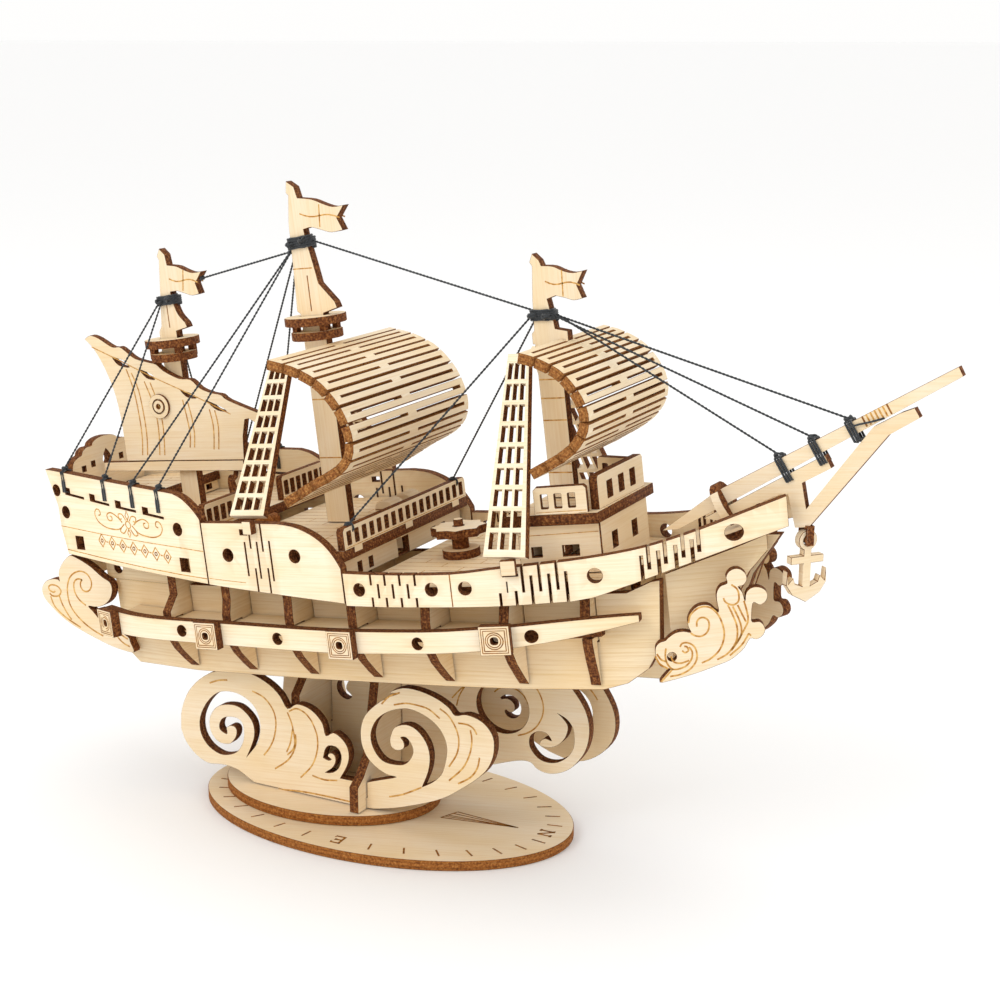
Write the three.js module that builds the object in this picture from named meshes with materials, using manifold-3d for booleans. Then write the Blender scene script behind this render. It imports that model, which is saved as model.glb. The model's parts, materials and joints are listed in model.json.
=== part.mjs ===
// Flat-pack plywood sailing ship on a wave stand.
// World frame: millimetres, +Z up, origin at the middle of the base underside.
// The ship itself is laid out in its own frame (s forward, y to port, h up)
// and pitched bow-up on the stand.
import * as THREE from 'three';
import { mergeVertices } from 'three/addons/utils/BufferGeometryUtils.js';
import Module from 'manifold-3d';

const wasm = await Module();
wasm.setup();

// ---- driving dimensions (mm) ----
const T = 3.2;            // ply thickness
const G = 0.3;            // gap left between touching pieces
const PITCH = 7.0 * Math.PI / 180;   // bow-up angle of the hull on the stand
const LIFT = 52.0;        // world height of the ship frame origin
const BASE_A = 64.0, BASE_B = 38.0, BASE_TURN = 2.8 * Math.PI / 180;
const BASE_T = 3.2;
const DISC_A = 37.4, DISC_B = 26.5, DISC_X = -20.4, DISC_Z = 3.5, DISC_T = 3.3;
const FRAMES = [-56, -32, -8, 15, 40, 64, 86];   // hull frame stations
const KEEL_TOP = 17.5, KEEL_MID = 9.0;
const WALL_BOT = 1.4, WALL_TOP = 33.0, WALL_MID = 16.0;
const SHELF_H = 18.2;
const WALE_H0 = 15.6, WALE_H1 = 22.4;
const DECK_H = 31.3;      // main deck underside
const QUARTER_H = 41.8;   // quarter deck underside
const POOP_H = 47.0;      // poop deck underside
const AFT_H = 53.8;       // raised aft deck underside
const FC_H = 49.5;        // forecastle deck underside
const MAST_MIZZEN = -66, MAST_MAIN = -9.4, MAST_FORE = 70.5;
const THREAD_R = 0.35;
const CAPSTAN_S = 33, HELM_S = -47, HELM_H = 57.6;
const ANCHOR_YAW = 50 * Math.PI / 180;

// half-breadths: outer face of the bulwarks, of the wale, of the inner hull wall
const B_TAB = [[-109, 21.8], [-75, 30], [-35, 38], [0, 40.5], [30, 41], [52, 38.8], [66, 36], [84, 30], [98, 26.2], [108, 23.2], [120, 18.2], [132, 11.8], [141, 7.2], [148, 3.6]];
const WALE_TAB = [[-85, 29.5], [-75, 35], [-60, 38], [-31, 39.4], [8, 40.8], [45, 40.6], [66, 37.4], [84, 31.0], [102, 24.6]];
const WALL_TAB = [[-90, 17], [-56, 23.5], [-8, 26], [40, 26], [64, 25], [86, 23], [106.5, 19.4]];

const lerp = (tab, s) => {
  if (s <= tab[0][0]) return tab[0][1];
  for (let i = 1; i < tab.length; i++) if (s <= tab[i][0]) {
    const [a, b] = [tab[i - 1], tab[i]];
    return a[1] + (b[1] - a[1]) * (s - a[0]) / (b[0] - a[0]);
  }
  return tab[tab.length - 1][1];
};

// ---- solids ----
const V2 = (p) => new THREE.Vector2(p[0], p[1]);
function prism(poly, depth, holes = []) {
  const area = (q) => q.reduce((a, p, i) => a + p[0] * q[(i + 1) % q.length][1] - q[(i + 1) % q.length][0] * p[1], 0);
  const clean = (q) => q.filter((p, i) => {
    const a = q[(i + q.length - 1) % q.length], b = q[(i + 1) % q.length];
    return Math.abs((p[0] - a[0]) * (b[1] - p[1]) - (p[1] - a[1]) * (b[0] - p[0])) > 1e-5;
  });
  poly = clean(poly);
  if (area(poly) < 0) poly = poly.slice().reverse();
  const sh = new THREE.Shape(poly.map(V2));
  const g = new THREE.ExtrudeGeometry(sh, { depth, bevelEnabled: false, steps: 1, curveSegments: 6 });
  if (!holes.length) return g;
  return D(g, ...holes.map(h => { const c = prism(h, depth + 2); c.translate(0, 0, -1); return c; }));
}
// plate in a plane y = const; poly in (s, h)
function side(poly, yc, t = T, holes = []) {
  const g = prism(poly, t, holes);
  g.rotateX(Math.PI / 2);
  g.translate(0, yc + t / 2, 0);
  return g;
}
// plate in a plane s = const; poly in (y, h)
function cross(poly, sc, t = T, holes = []) {
  const g = prism(poly, t, holes);
  g.applyMatrix4(new THREE.Matrix4().set(0, 0, 1, 0, 1, 0, 0, 0, 0, 1, 0, 0, 0, 0, 0, 1));
  g.translate(sc - t / 2, 0, 0);
  return g;
}
// plate lying flat; poly in (s, y)
function flat(poly, z0, t = T, holes = []) {
  const g = prism(poly, t, holes);
  g.translate(0, 0, z0);
  return g;
}
function box(x0, x1, y0, y1, z0, z1) {
  const g = new THREE.BoxGeometry(x1 - x0, y1 - y0, z1 - z0);
  g.translate((x0 + x1) / 2, (y0 + y1) / 2, (z0 + z1) / 2);
  return g;
}
function toM(g) {
  let m = g.clone();
  m.deleteAttribute('normal'); m.deleteAttribute('uv');
  m = mergeVertices(m, 1e-4);
  const idx = m.index.array;
  return new wasm.Manifold(new wasm.Mesh({ numProp: 3, vertProperties: new Float32Array(m.attributes.position.array), triVerts: new Uint32Array(idx) }));
}
function fromM(m) {
  const q = m.getMesh();
  const g = new THREE.BufferGeometry();
  const n = q.numProp, v = q.vertProperties, p = new Float32Array(v.length / n * 3);
  for (let i = 0; i < v.length / n; i++) { p[3 * i] = v[n * i]; p[3 * i + 1] = v[n * i + 1]; p[3 * i + 2] = v[n * i + 2]; }
  g.setAttribute('position', new THREE.BufferAttribute(p, 3));
  g.setIndex(new THREE.BufferAttribute(new Uint32Array(q.triVerts), 1));
  return g;
}
const U = (...gs) => fromM(gs.map(toM).reduce((a, b) => a.add(b)));
const D = (a, ...gs) => fromM(gs.map(toM).reduce((m, b) => m.subtract(b), toM(a)));
const I = (a, b) => fromM(toM(a).intersect(toM(b)));
const mirrorY = (g) => {
  const m = g.clone(); m.scale(1, -1, 1);
  if (m.index) { const a = m.index.array; for (let i = 0; i < a.length; i += 3) { const t = a[i]; a[i] = a[i + 1]; a[i + 1] = t; } }
  else { const p = m.attributes.position.array; for (let i = 0; i < p.length; i += 9) for (let k = 0; k < 3; k++) { const t = p[i + k]; p[i + k] = p[i + 3 + k]; p[i + 3 + k] = t; } }
  m.deleteAttribute('normal'); if (m.attributes.uv) m.deleteAttribute('uv');
  return m;
};
// ribbon standing on the starboard side (y < 0) whose outer face follows tab
function ribbon(tab, s0, s1, off, t, h0, h1) {
  const ss = [s0, ...tab.map(p => p[0]).filter(s => s > s0 + 1 && s < s1 - 1), s1];
  const out = ss.map(s => [s, -(lerp(tab, s) - off)]);
  const inn = ss.map(s => [s, -(lerp(tab, s) - off - t)]);
  const g = prism([...out, ...inn.reverse()], h1 - h0);
  g.translate(0, 0, h0);
  return g;
}
const wide = (poly) => side(poly, 0, 120);
const ellipse = (a, b, n, cx = 0, cy = 0, rot = 0) => Array.from({ length: n }, (_, i) => {
  const t = 2 * Math.PI * i / n, x = a * Math.cos(t), y = b * Math.sin(t);
  return [cx + x * Math.cos(rot) - y * Math.sin(rot), cy + x * Math.sin(rot) + y * Math.cos(rot)];
});
const rect = (x0, x1, y0, y1) => [[x0, y0], [x1, y0], [x1, y1], [x0, y1]];
// straight threads through a list of points
function thread(pts, r = THREAD_R) {
  const v = pts.map(p => new THREE.Vector3(...p));
  let c;
  if (v.length === 2) c = new THREE.LineCurve3(v[0], v[1]);
  else c = new THREE.CatmullRomCurve3(v, false, 'centripetal');
  const sh = new THREE.Shape(ellipse(r, r, 8).map(V2));
  return new THREE.ExtrudeGeometry(sh, { extrudePath: c, steps: v.length === 2 ? 1 : 8, bevelEnabled: false });
}

const SHIP = new THREE.Matrix4().makeTranslation(0, 0, LIFT).multiply(new THREE.Matrix4().makeRotationY(-PITCH));
const root = new THREE.Group();
root.name = 'plywood_ship';
const ply = (c, r) => new THREE.MeshStandardMaterial({ color: c, roughness: r, metalness: 0 });
const MAT = {
  ply: ply(0xf3e2c2, 0.75), ply_base: ply(0xefdcb8, 0.75), ply_light: ply(0xf8ead0, 0.75),
  ply_edge: ply(0x7a4420, 0.85), thread: new THREE.MeshStandardMaterial({ color: 0x1b2223, roughness: 0.9, metalness: 0 })
};
for (const k of Object.keys(MAT)) MAT[k].name = k;
function put(name, g, mat = 'ply', ship = true) {
  let q = g.index ? g.toNonIndexed() : g.clone();
  q.deleteAttribute('normal'); if (q.attributes.uv) q.deleteAttribute('uv');
  q = mergeVertices(q, 1e-4);
  if (ship) q.applyMatrix4(SHIP);
  q.computeVertexNormals();
  const m = new THREE.Mesh(q, MAT[mat]);
  m.name = name;
  root.add(m);
}
function both(name, g, mat = 'ply', ship = true) {
  put(name + '_stbd', g, mat, ship);
  put(name + '_port', mirrorY(g), mat, ship);
}

// ================= base and wave stand (world frame) =================
put('base_plate', flat(ellipse(BASE_A, BASE_B, 56, 0, 0, BASE_TURN), 0, BASE_T), 'ply_base', false);
put('base_disc', flat(ellipse(DISC_A, DISC_B, 48, DISC_X, 0, BASE_TURN), DISC_Z, DISC_T), 'ply_base', false);

const DISC_TOP = DISC_Z + DISC_T + G;
// closed band that follows a spiral; used for the cut-outs in the wave scrolls
function spiral(cx, cy, r0, r1, a0, turns, w, n = 14) {
  const o = [], i = [];
  for (let k = 0; k <= n; k++) {
    const t = k / n, a = a0 + turns * 2 * Math.PI * t, r = r0 + (r1 - r0) * t, hw = w * Math.pow(Math.sin(Math.PI * (0.04 + 0.92 * t)), 0.7) / 2;
    o.push([cx + (r + hw) * Math.cos(a), cy + (r + hw) * Math.sin(a)]);
    i.push([cx + (r - hw) * Math.cos(a), cy + (r - hw) * Math.sin(a)]);
  }
  return [...o, ...i.reverse()];
}
const WF_Y = -13.0, WB_Y = 9.0, WR_Y = 19.0;
const WAVE_FRONT = [[-44.5, 11.2], [-49.5, 14.6], [-58, 16.6], [-65, 21], [-69.6, 28], [-70.6, 35], [-68, 39.2], [-60, 43.2], [-52, 44.8], [-44, 44.4], [-36, 40.8], [-30.5, 36.4], [-27.8, 33.2], [-24, 33.6], [-19, 32.2], [-15, 28], [-13.4, 22.4], [-11, 22.8], [-7, 21.4], [-5.3, 17.2], [-5.6, 13.4], [-2, 13.0], [1.5, 13.2], [4.0, 17], [1.6, 22], [0.6, 29], [2.2, 37], [7, 43.4], [14, 48.0], [21, 48.2], [28, 44.4], [33, 39.6], [37, 39.4], [42, 37], [46, 31.4], [46.6, 25], [43.5, 18.6], [38, 13.6], [30, 9.6], [20, 7.6], [10, DISC_TOP], [-6, DISC_TOP], [-24, DISC_TOP], [-34, 8.4]];
const WAVE_BACK = [[-30, DISC_TOP], [-34, 14], [-40, 20], [-45, 28], [-44, 37], [-38, 41.5], [-30, 41], [-20, 42.5], [-8, 44.5], [4, 46.5], [16, 48.5], [30, 50], [44, 52.5], [56, 54.2], [60, 50], [66, 44], [70, 36.5], [71, 29.5], [68, 23.4], [62, 18.6], [55, 16.4], [48, 17], [42, 20.6], [36, 21.6], [28, 20.4], [20, 15], [12, DISC_TOP]];
const WAVE_REAR = [[-10, 20], [-12, 30], [-8, 40], [0, 45.5], [14, 48], [32, 50], [50, 52.8], [62, 54.5], [68, 49], [72.5, 41], [72.5, 33], [68, 26.5], [60, 22.5], [50, 24], [40, 28], [26, 27], [12, 20], [2, 12.5]];
const X_FORE = 0, X_AFT = -27;
{
  const holesF = [spiral(-50.5, 30.2, 10.6, 4.6, 4.2, -1.05, 3.8, 20), spiral(17, 28.6, 11.6, 5, 4.0, -1.05, 4.4, 20)];
  let front = side(WAVE_FRONT, WF_Y, T, holesF);
  front = D(front, box(X_FORE - T / 2 - G, X_FORE + T / 2 + G, -30, 30, 10.5, 30));
  put('wave_front', front, 'ply_light', false);
  const holesB = [ellipse(9, 9.4, 16, 39, 38), spiral(57, 31, 9.0, 4.0, 4.6, -0.8, 4.4, 14)];
  let back = side(WAVE_BACK, WB_Y, T, holesB);
  back = D(back, box(X_FORE - T / 2 - G, X_FORE + T / 2 + G, -30, 30, 24, 60), box(X_AFT - T / 2 - G, X_AFT + T / 2 + G, -30, 30, 24, 60));
  put('wave_back', back, 'ply_light', false);
  const rear = D(side(WAVE_REAR, WR_Y, T, [spiral(57, 38, 8.6, 4.0, 4.6, -0.8, 3.8, 14)]), box(X_FORE - T / 2 - G, X_FORE + T / 2 + G, -30, 30, 28, 60));
  put('wave_rear', rear, 'ply_light', false);
  const xf = [[-19.5, DISC_TOP], [19.5, DISC_TOP], [21, 16], [23.5, 26], [23.5, 38], [20, 45], [8, 47], [-6, 46.5], [-8.5, 36], [-11, 24], [-16, 18], [-19.5, 15.5]];
  let foreX = cross(xf, X_FORE);
  foreX = D(foreX, box(-9, 9, WF_Y - T / 2 - G, WF_Y + T / 2 + G, 0, 10.5 + G), box(-9, 9, WB_Y - T / 2 - G, WB_Y + T / 2 + G, 0, 24 + G), box(-9, 9, WR_Y - T / 2 - G, WR_Y + T / 2 + G, 12, 28 + G));
  put('wave_cross_fore', foreX, 'ply_light', false);
  const xa = [[-10.5, DISC_TOP], [14, DISC_TOP], [17, 16], [18, 27], [15.5, 36], [10, 41.2], [3, 44.3], [-6, 44], [-10.9, 39], [-11.0, 22]];
  let aftX = cross(xa, X_AFT);
  aftX = D(aftX, box(-40, 9, WB_Y - T / 2 - G, WB_Y + T / 2 + G, 0, 24 + G));
  put('wave_cross_aft', aftX, 'ply_light', false);
}

// ================= hull skeleton (ship frame) =================
const KEEL = [[-91, 6], [-84, 0.6], [-60, 0], [60, 0], [86, -1.2], [100, -1.4], [110, 2.6], [117.5, 10], [122.5, 20], [127.5, 31], [136.5, 42.4], [131, 42.4], [118, 38], [106, 34], [99, 30.5], [97, KEEL_TOP], [-91, KEEL_TOP]];
{
  let keel = side(KEEL, 0);
  for (const s of FRAMES) keel = D(keel, box(s - T / 2 - G, s + T / 2 + G, -9, 9, KEEL_MID, 60));
  put('keel_plate', keel, 'ply');
}
function frameTop(s) { return s < -34 ? POOP_H - G : s < 10 ? QUARTER_H - G : DECK_H - G; }
FRAMES.forEach((s, k) => {
  const bw = lerp(WALL_TAB, s), wl = lerp(WALE_TAB, s) - T - G - 0.25, bb = lerp(B_TAB, s) - T - G - 0.35, top = frameTop(s);
  const xo = Math.min(wl, bb);
  const half = [[0, 2], [bw - T - 6, 2], [bw + 0.8, 3.4], [bw + (wl - bw) * 0.35, 6.4], [bw + (wl - bw) * 0.72, 11], [wl, WALE_H0 + 0.6], [wl, 24], [xo, 28.5], [bb, 32], [bb, top]];
  const poly = [...half, ...half.slice(1).reverse().map(p => [-p[0], p[1]])].map(p => p);
  // half listed bottom centre to top side; mirror closes across the top
  const pts = [...half.slice(1), ...half.slice(1).reverse().map(p => [-p[0], p[1]])];
  let f = cross(pts, s);
  const cuts = [box(s - 9, s + 9, -T / 2 - G, T / 2 + G, -5, KEEL_MID + G)];
  for (const sg of [-1, 1]) {
    const a = sg * (bw + G + 0.15), b = sg * (bw - T - G - 0.15);
    cuts.push(box(s - 9, s + 9, Math.min(a, b), Math.max(a, b), -5, WALL_MID + G));
    const m = (bw + wl) / 2, c1 = sg * (m - G), c2 = sg * 60;
    cuts.push(box(s - 9, s + 9, Math.min(c1, c2), Math.max(c1, c2), SHELF_H - G, SHELF_H + T + G));
  }
  cuts.push(box(s - 9, s + 9, -9, 9, 22, top - 5));
  put('hull_frame_' + (k + 1), D(f, ...cuts), 'ply');
});
{
  // inner hull walls: the lower planking below the wale and the wall seen above it
  const prof = [[-90, 6], [-84, WALL_BOT], [60, WALL_BOT], [88, WALL_BOT + 0.4], [95, 3.6], [101, 7.6], [105, 14], [106.5, 33.4], [104, WALL_TOP], [97, WALL_TOP - 3], [-90, WALL_TOP - 3]];
  let w = I(ribbon(WALL_TAB, -90, 106.5, 0, T, -5, 60), wide(prof));
  for (const s of FRAMES) w = D(w, box(s - T / 2 - G, s + T / 2 + G, -60, 60, WALL_MID, 60));
  both('hull_wall', w);
  // shelves between wall and wale
  const ss = [-80, -75, -60, -56, -31, -8, 8, 40, 45, 64, 66, 84, 86, 90];
  const poly = [...ss.map(s => [s, -(lerp(WALE_TAB, s) - T - G - 0.2)]), ...ss.slice().reverse().map(s => [s, -(lerp(WALL_TAB, s) + G + 0.05)])];
  let sh = flat(poly, SHELF_H);
  for (const s of FRAMES) {
    const bw = lerp(WALL_TAB, s), wl = lerp(WALE_TAB, s) - T - G - 0.25;
    sh = D(sh, box(s - T / 2 - G, s + T / 2 + G, -(bw + wl) / 2, 0, 0, 60));
  }
  both('hull_shelf', sh);
  // wales with their square plaques
  const wp = [[-85, WALE_H0 + 0.5], [-60, WALE_H0 + 0.3], [8, WALE_H0 - 0.6], [62, WALE_H0 + 1.4], [84, 19.4], [102, 22.9], [102, 24.9], [66, 23.6], [8, WALE_H1 - 0.6], [-60, WALE_H1 + 0.4], [-85, WALE_H1 + 1.2]];
  let wa = I(ribbon(WALE_TAB, -85, 102, 0, T, 0, 60), wide(wp));
  const plaques = [[-80, 19.5], [-35.8, 18.7], [14, 18.3], [63.5, 20.4]];
  for (const [s, h] of plaques) {
    const ds = 1, th = Math.atan2(-(lerp(WALE_TAB, s + ds) - lerp(WALE_TAB, s - ds)), 2 * ds);
    const g = new THREE.BoxGeometry(8.3, T + 1.2, 8.3);
    g.rotateZ(th); g.translate(s, -(lerp(WALE_TAB, s) + T / 2 - 0.6), h);
    wa = U(wa, g);
  }
  both('wale', wa);
}
// ================= bulwarks =================
{
  const castle = [[-108.2, 67.7], [-104.5, 55.5], [-104.5, 48.4], [-102.8, 39.4], [-68, 36.5], [-35.3, 34.3], [-35.3, 54.6], [-38, 58], [-41.5, 60.6], [-46, 62.3]];
  let c = I(ribbon(B_TAB, -108.3, -35.3, 0, T, 0, 90), wide(castle));
  // thread slots near the rail and the two windows
  const slots = [[-98, -92.5], [-87.5, -82], [-77, -71.5], [-66, -60.5], [-55.5, -50]];
  c = D(c, box(-97.5, -93.5, -60, 60, 41.5, 46), box(-46.8, -42.4, -60, 60, 37.8, 42.2), ...slots.map(([a, b]) => box(a, b, -60, 60, 60.2 - (a + 100) * 0.06, 62.0 - (a + 100) * 0.06)));
  both('stern_side', c);
  const mid = [[-34.9, 34.2], [-8, 32.2], [10.8, 30.7], [15.9, 30.2], [15.9, 41.2], [13.5, 46], [9, 50], [3, 52.7], [-5, 53.7], [-34.9, 53.4]];
  let m = I(ribbon(B_TAB, -34.9, 15.9, 0, T, 0, 90), wide(mid));
  both('mid_bulwark', m);
  const bow = [[16.3, 29.6], [50, 29.5], [84, 29.4], [98, 32.8], [108, 36], [120, 39.6], [141, 46], [141, 54.5], [132, 51.6], [120, 47.8], [108, 44.6], [98, 42.8], [84, 41.2], [66, 40.4], [51, 39], [16.3, 38.8]];
  let b = I(ribbon(B_TAB, 16.3, 141, 0, T, 0, 90), wide(bow));
  both('bow_bulwark', b);
  // bow panels closing the hull forward of the walls
  const pa = [107.1, -16.4], pb = [133.4, -4.4];
  const L = Math.hypot(pb[0] - pa[0], pb[1] - pa[1]), ux = (pb[0] - pa[0]) / L, uy = (pb[1] - pa[1]) / L;
  const pan = [pa, pb, [pb[0] - uy * 2.0, pb[1] + ux * 2.0], [pa[0] - uy * 2.0, pa[1] + ux * 2.0]];
  const pp = [[107.1, 6.4], [109, 4.5], [113, 6.5], [118.5, 14], [123.6, 24], [128, 32.8], [137.6, 43.6], [137.6, 44.6], [126, 40.4], [116, 37.3], [107.1, 34.4]];
  both('bow_panel', I(flat(pan, -5, 60), wide(pp)));
}
// ================= stern =================
{
  const tr = [[-17.6, 30], [17.6, 30], [17.6, 62], [17.2, 67.6], [14, 70.4], [9, 70.8], [5, 73.2], [-5, 73.2], [-9, 70.8], [-14, 70.4], [-17.2, 67.6], [-17.6, 62]];
  put('transom', cross(tr, -102.4, T, [rect(-12, -8, 63.5, 66), rect(8, 12, 63.5, 66), rect(-2, 2, 64.5, 68.5)]), 'ply');
  // scroll ornament below the stern quarter, one each side
  const sc = [[-101, 36], [-97, 38.6], [-91, 38.2], [-86.4, 34.6], [-85, 29], [-87, 24.4], [-91, 22.6], [-93, 20], [-90, 14], [-84, 8.2], [-80, 4.5], [-86, 4.2], [-94, 7.5], [-102, 13.5], [-108, 21], [-111.6, 28.5], [-110.5, 31.8], [-106.5, 32.8], [-103, 30.8]];
  both('stern_scroll', side(sc, -(17 + T / 2 + G + 1.6)), 'ply_light');
}
// bow wave ornament outside the bow panels
{
  const pa = [99.5, -24.9], pb = [136, -7.9];
  const ang = Math.atan2(pb[1] - pa[1], pb[0] - pa[0]);
  const k = Math.cos(ang);
  const bw = [[98.2, -3.4], [104, 0.2], [110, 1.6], [117, 4.8], [122.5, 9.6], [125.5, 12.6], [129.4, 13.2], [130.6, 16.2], [128.6, 18.6], [125.6, 18.6], [127, 22.8], [130, 23.4], [132, 26.4], [130, 29.8], [126.2, 29.4], [124.6, 33.4], [121.4, 33.6], [119.6, 30.8], [120.4, 27.4], [117.6, 28.4], [115, 26], [114.6, 22.6], [109.4, 23.4], [106.2, 20], [106, 15.6], [101, 16.6], [97.6, 12.6], [98.4, 7.6], [101, 3]];
  const loc = bw.map(([s, h]) => [(s - pa[0]) / k, h]);
  const g = prism(loc, T);
  g.rotateX(Math.PI / 2);
  g.translate(0, T / 2, 0);
  g.rotateZ(ang);
  g.translate(pa[0] + 1.6 * Math.sin(ang) * 0, pa[1], 0);
  both('bow_wave', D(g, box(60, 160, -1.2, 60, -20, 80)), 'ply_light');
}
// ================= decks =================
const inside = (s, m = 0.35) => lerp(B_TAB, s) - T - G - m;
function deckPoly(list, m) { return [...list.map(s => [s, -inside(s, m)]), ...list.slice().reverse().map(s => [s, inside(s, m)])]; }
{
  const cb = flat(ellipse(5.8, 5.8, 20, CAPSTAN_S, 0), DECK_H + T - 0.2, 2.8), post = flat(ellipse(1.5, 1.5, 12, CAPSTAN_S, 0), DECK_H + T + 1, 10.6);
  const collar = flat(ellipse(2.6, 2.6, 14, CAPSTAN_S, 0), DECK_H + T + 1.5, 41.1 - (DECK_H + T + 1.5));
  put('main_deck', U(flat(deckPoly([16.6, 30, 52, 66, 84, 96.5]), DECK_H), cb, post, collar), 'ply_light');
  // bow deck rises with the sheer
  const a0 = [97.2, 34.4], a1 = [136, 45.8];
  const ang = Math.atan2(a1[1] - a0[1], a1[0] - a0[0]);
  const ss = [97.6, 108, 120, 131];
  const pl = [...ss.map(s => [(s - a0[0]) / Math.cos(ang), -inside(s, 1.0)]), ...ss.slice().reverse().map(s => [(s - a0[0]) / Math.cos(ang), inside(s, 1.0)])];
  const g = prism(pl, 2.0);
  g.rotateY(-ang);
  g.translate(a0[0], 0, a0[1]);
  put('bow_deck', g, 'ply_light');
  // quarter deck with its front rail and the wall under it
  let q = flat(deckPoly([-33.6, -20, 0, 15.4]), QUARTER_H);
  const hw = inside(14, 0.6);
  const rail = [[-hw, 44], [hw, 44], [hw, 51.4], [-hw, 51.4]];
  const slots = [];
  for (let i = 0; i < 16; i++) { const y = -hw + 3 + i * (2 * hw - 6) / 15; slots.push(rect(y - 1.1, y + 1.1, 46.4, 50.2)); }
  q = U(q, cross(rail, 13.6, T * 0.8, slots));
  const ww = inside(12, 0.6);
  q = U(q, cross([[-ww, DECK_H + T + G], [ww, DECK_H + T + G], [ww, QUARTER_H + 0.5], [-ww, QUARTER_H + 0.5]], 11.2, 2.4, [rect(-24, -21, 36, 39.4), rect(-16, -13, 36, 39.4), rect(-4, 4, 35.2, 40.4), rect(13, 16, 36, 39.4), rect(21, 24, 36, 39.4)]));
  q = D(q, box(15 - T / 2 - G, 15 + T / 2 + G, -60, 60, 0, DECK_H + T));
  put('quarter_deck', q, 'ply_light');
  // poop deck with front rail, raised aft deck and the steps up to it
  let p = flat(deckPoly([-99.8, -75, -35.6]), POOP_H);
  const pw = inside(-37, 0.6), prl = [];
  for (const sg of [-1, 1]) {
    const y0 = sg > 0 ? 8 : -pw, y1 = sg > 0 ? pw : -8, sl = [];
    for (let i = 0; i < 6; i++) { const y = y0 + 2.4 + i * (y1 - y0 - 4.8) / 5; sl.push(rect(y - 1.0, y + 1.0, 52, 55.6)); }
    p = U(p, cross([[y0, 49], [y1, 49], [y1, 57], [y0, 57]], -37.4, 2.4, sl));
  }
  // helm stand with its shaft
  const stand = cross([[-2.4, POOP_H + T - 0.5], [2.4, POOP_H + T - 0.5], [1.6, HELM_H + 2], [-1.6, HELM_H + 2]], HELM_S - 2.4, 2.2);
  const shaft = new THREE.CylinderGeometry(0.8, 0.8, 5.6, 12); shaft.rotateZ(Math.PI / 2); shaft.translate(HELM_S - 0.2, 0, HELM_H);
  const knob = new THREE.CylinderGeometry(1.7, 1.7, 0.9, 12); knob.rotateZ(Math.PI / 2); knob.translate(HELM_S + 2.5, 0, HELM_H);
  p = U(p, stand, shaft, knob);
  put('poop_deck', p, 'ply_light');
  let a = flat(deckPoly([-99.8, -88, -75], 0.35), AFT_H);
  a = U(a, cross([[-inside(-76.4, 0.4), POOP_H + T + G], [inside(-76.4, 0.4), POOP_H + T + G], [inside(-76.4, 0.4), AFT_H + 1], [-inside(-76.4, 0.4), AFT_H + 1]], -77, 2.4), cross([[-12, POOP_H + T + G], [-12 + 2.4, POOP_H + T + G], [-9.6, AFT_H + 1], [-12, AFT_H + 1]], -90, 12));
  // steps with side strings, from the poop deck up to the aft deck
  const st = [[-76.4, POOP_H + T + G], [-76.4, AFT_H + 2.8], [-72, AFT_H + 2.8], [-70.4, AFT_H], [-66, POOP_H + T + 2.2], [-63.5, POOP_H + T + G]];
  put('aft_deck', U(a, side(st, -9.5, 10)), 'ply_light');
  // forecastle: walls, overhanging deck and its rails
  const f0 = 66.2, f1 = 91, y0 = 24, y1 = 16.5;
  const outer = [[f0, -y0], [f1, -y1], [f1, y1], [f0, y0]];
  const inner = [[f0 + 2.6, -y0 + 3.3], [f1 - 2.6, -y1 + 1.9], [f1 - 2.6, y1 - 1.9], [f0 + 2.6, y0 - 3.3]];
  let walls = flat(outer, DECK_H + T + G, FC_H + 0.5 - (DECK_H + T + G), [inner]);
  walls = D(walls, box(78, 82.5, -60, 60, 39.5, 43.5), box(60, 120, -9.5, -5.5, 39.5, 44), box(60, 120, 5.5, 9.5, 39.5, 44));
  let fd = flat([[f0 - 3, -y0 - 1.6], [f1 + 3, -y1 - 2.4], [f1 + 3, y1 + 2.4], [f0 - 3, y0 + 1.6]], FC_H);
  const ro = [[f0 + 9, -y0 + 1.4], [f1 + 1.2, -y1 - 1.0], [f1 + 1.2, y1 + 1.0], [f0 + 9, y0 - 1.4]];
  const ri = [[f0 + 11.4, -y0 + 4.2], [f1 - 1.0, -y1 + 1.2], [f1 - 1.0, y1 - 1.2], [f0 + 11.4, y0 - 4.2]];
  let rl = flat(ro, FC_H + T - 0.4, 8.2, [ri]);
  const rc = [];
  for (let i = 0; i < 3; i++) rc.push(box(79 + i * 3.9, 81 + i * 3.9, -60, 60, 54.6, 58.6));
  for (const y of [-12, -7, -2, 3, 8, 13]) rc.push(box(60, 120, y - 1.1, y + 1.1, 54.6, 58.6));
  rl = D(rl, ...rc);
  put('forecastle_deck', U(fd, rl, walls), 'ply_light');
}
// ================= deck fittings =================
{
  const star = [];
  for (let i = 0; i < 16; i++) { const a = 2 * Math.PI * i / 16, r = (i % 2) ? 8.8 : 7.2; star.push([CAPSTAN_S + r * Math.cos(a), r * Math.sin(a)]); }
  put('capstan_wheel', flat(star, 41.4, 2.6, [ellipse(1.85, 1.85, 12, CAPSTAN_S, 0)]), 'ply_edge');
  const wh = [];
  for (let i = 0; i < 16; i++) { const a = 2 * Math.PI * i / 16, r = (i % 2) ? 5.0 : 3.9; wh.push([r * Math.cos(a), HELM_H + r * Math.sin(a)]); }
  put('helm_wheel', cross(wh, HELM_S + 0.6, 2.0, [ellipse(1.1, 1.1, 12, 0, HELM_H)]), 'ply_edge');
}
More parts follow.
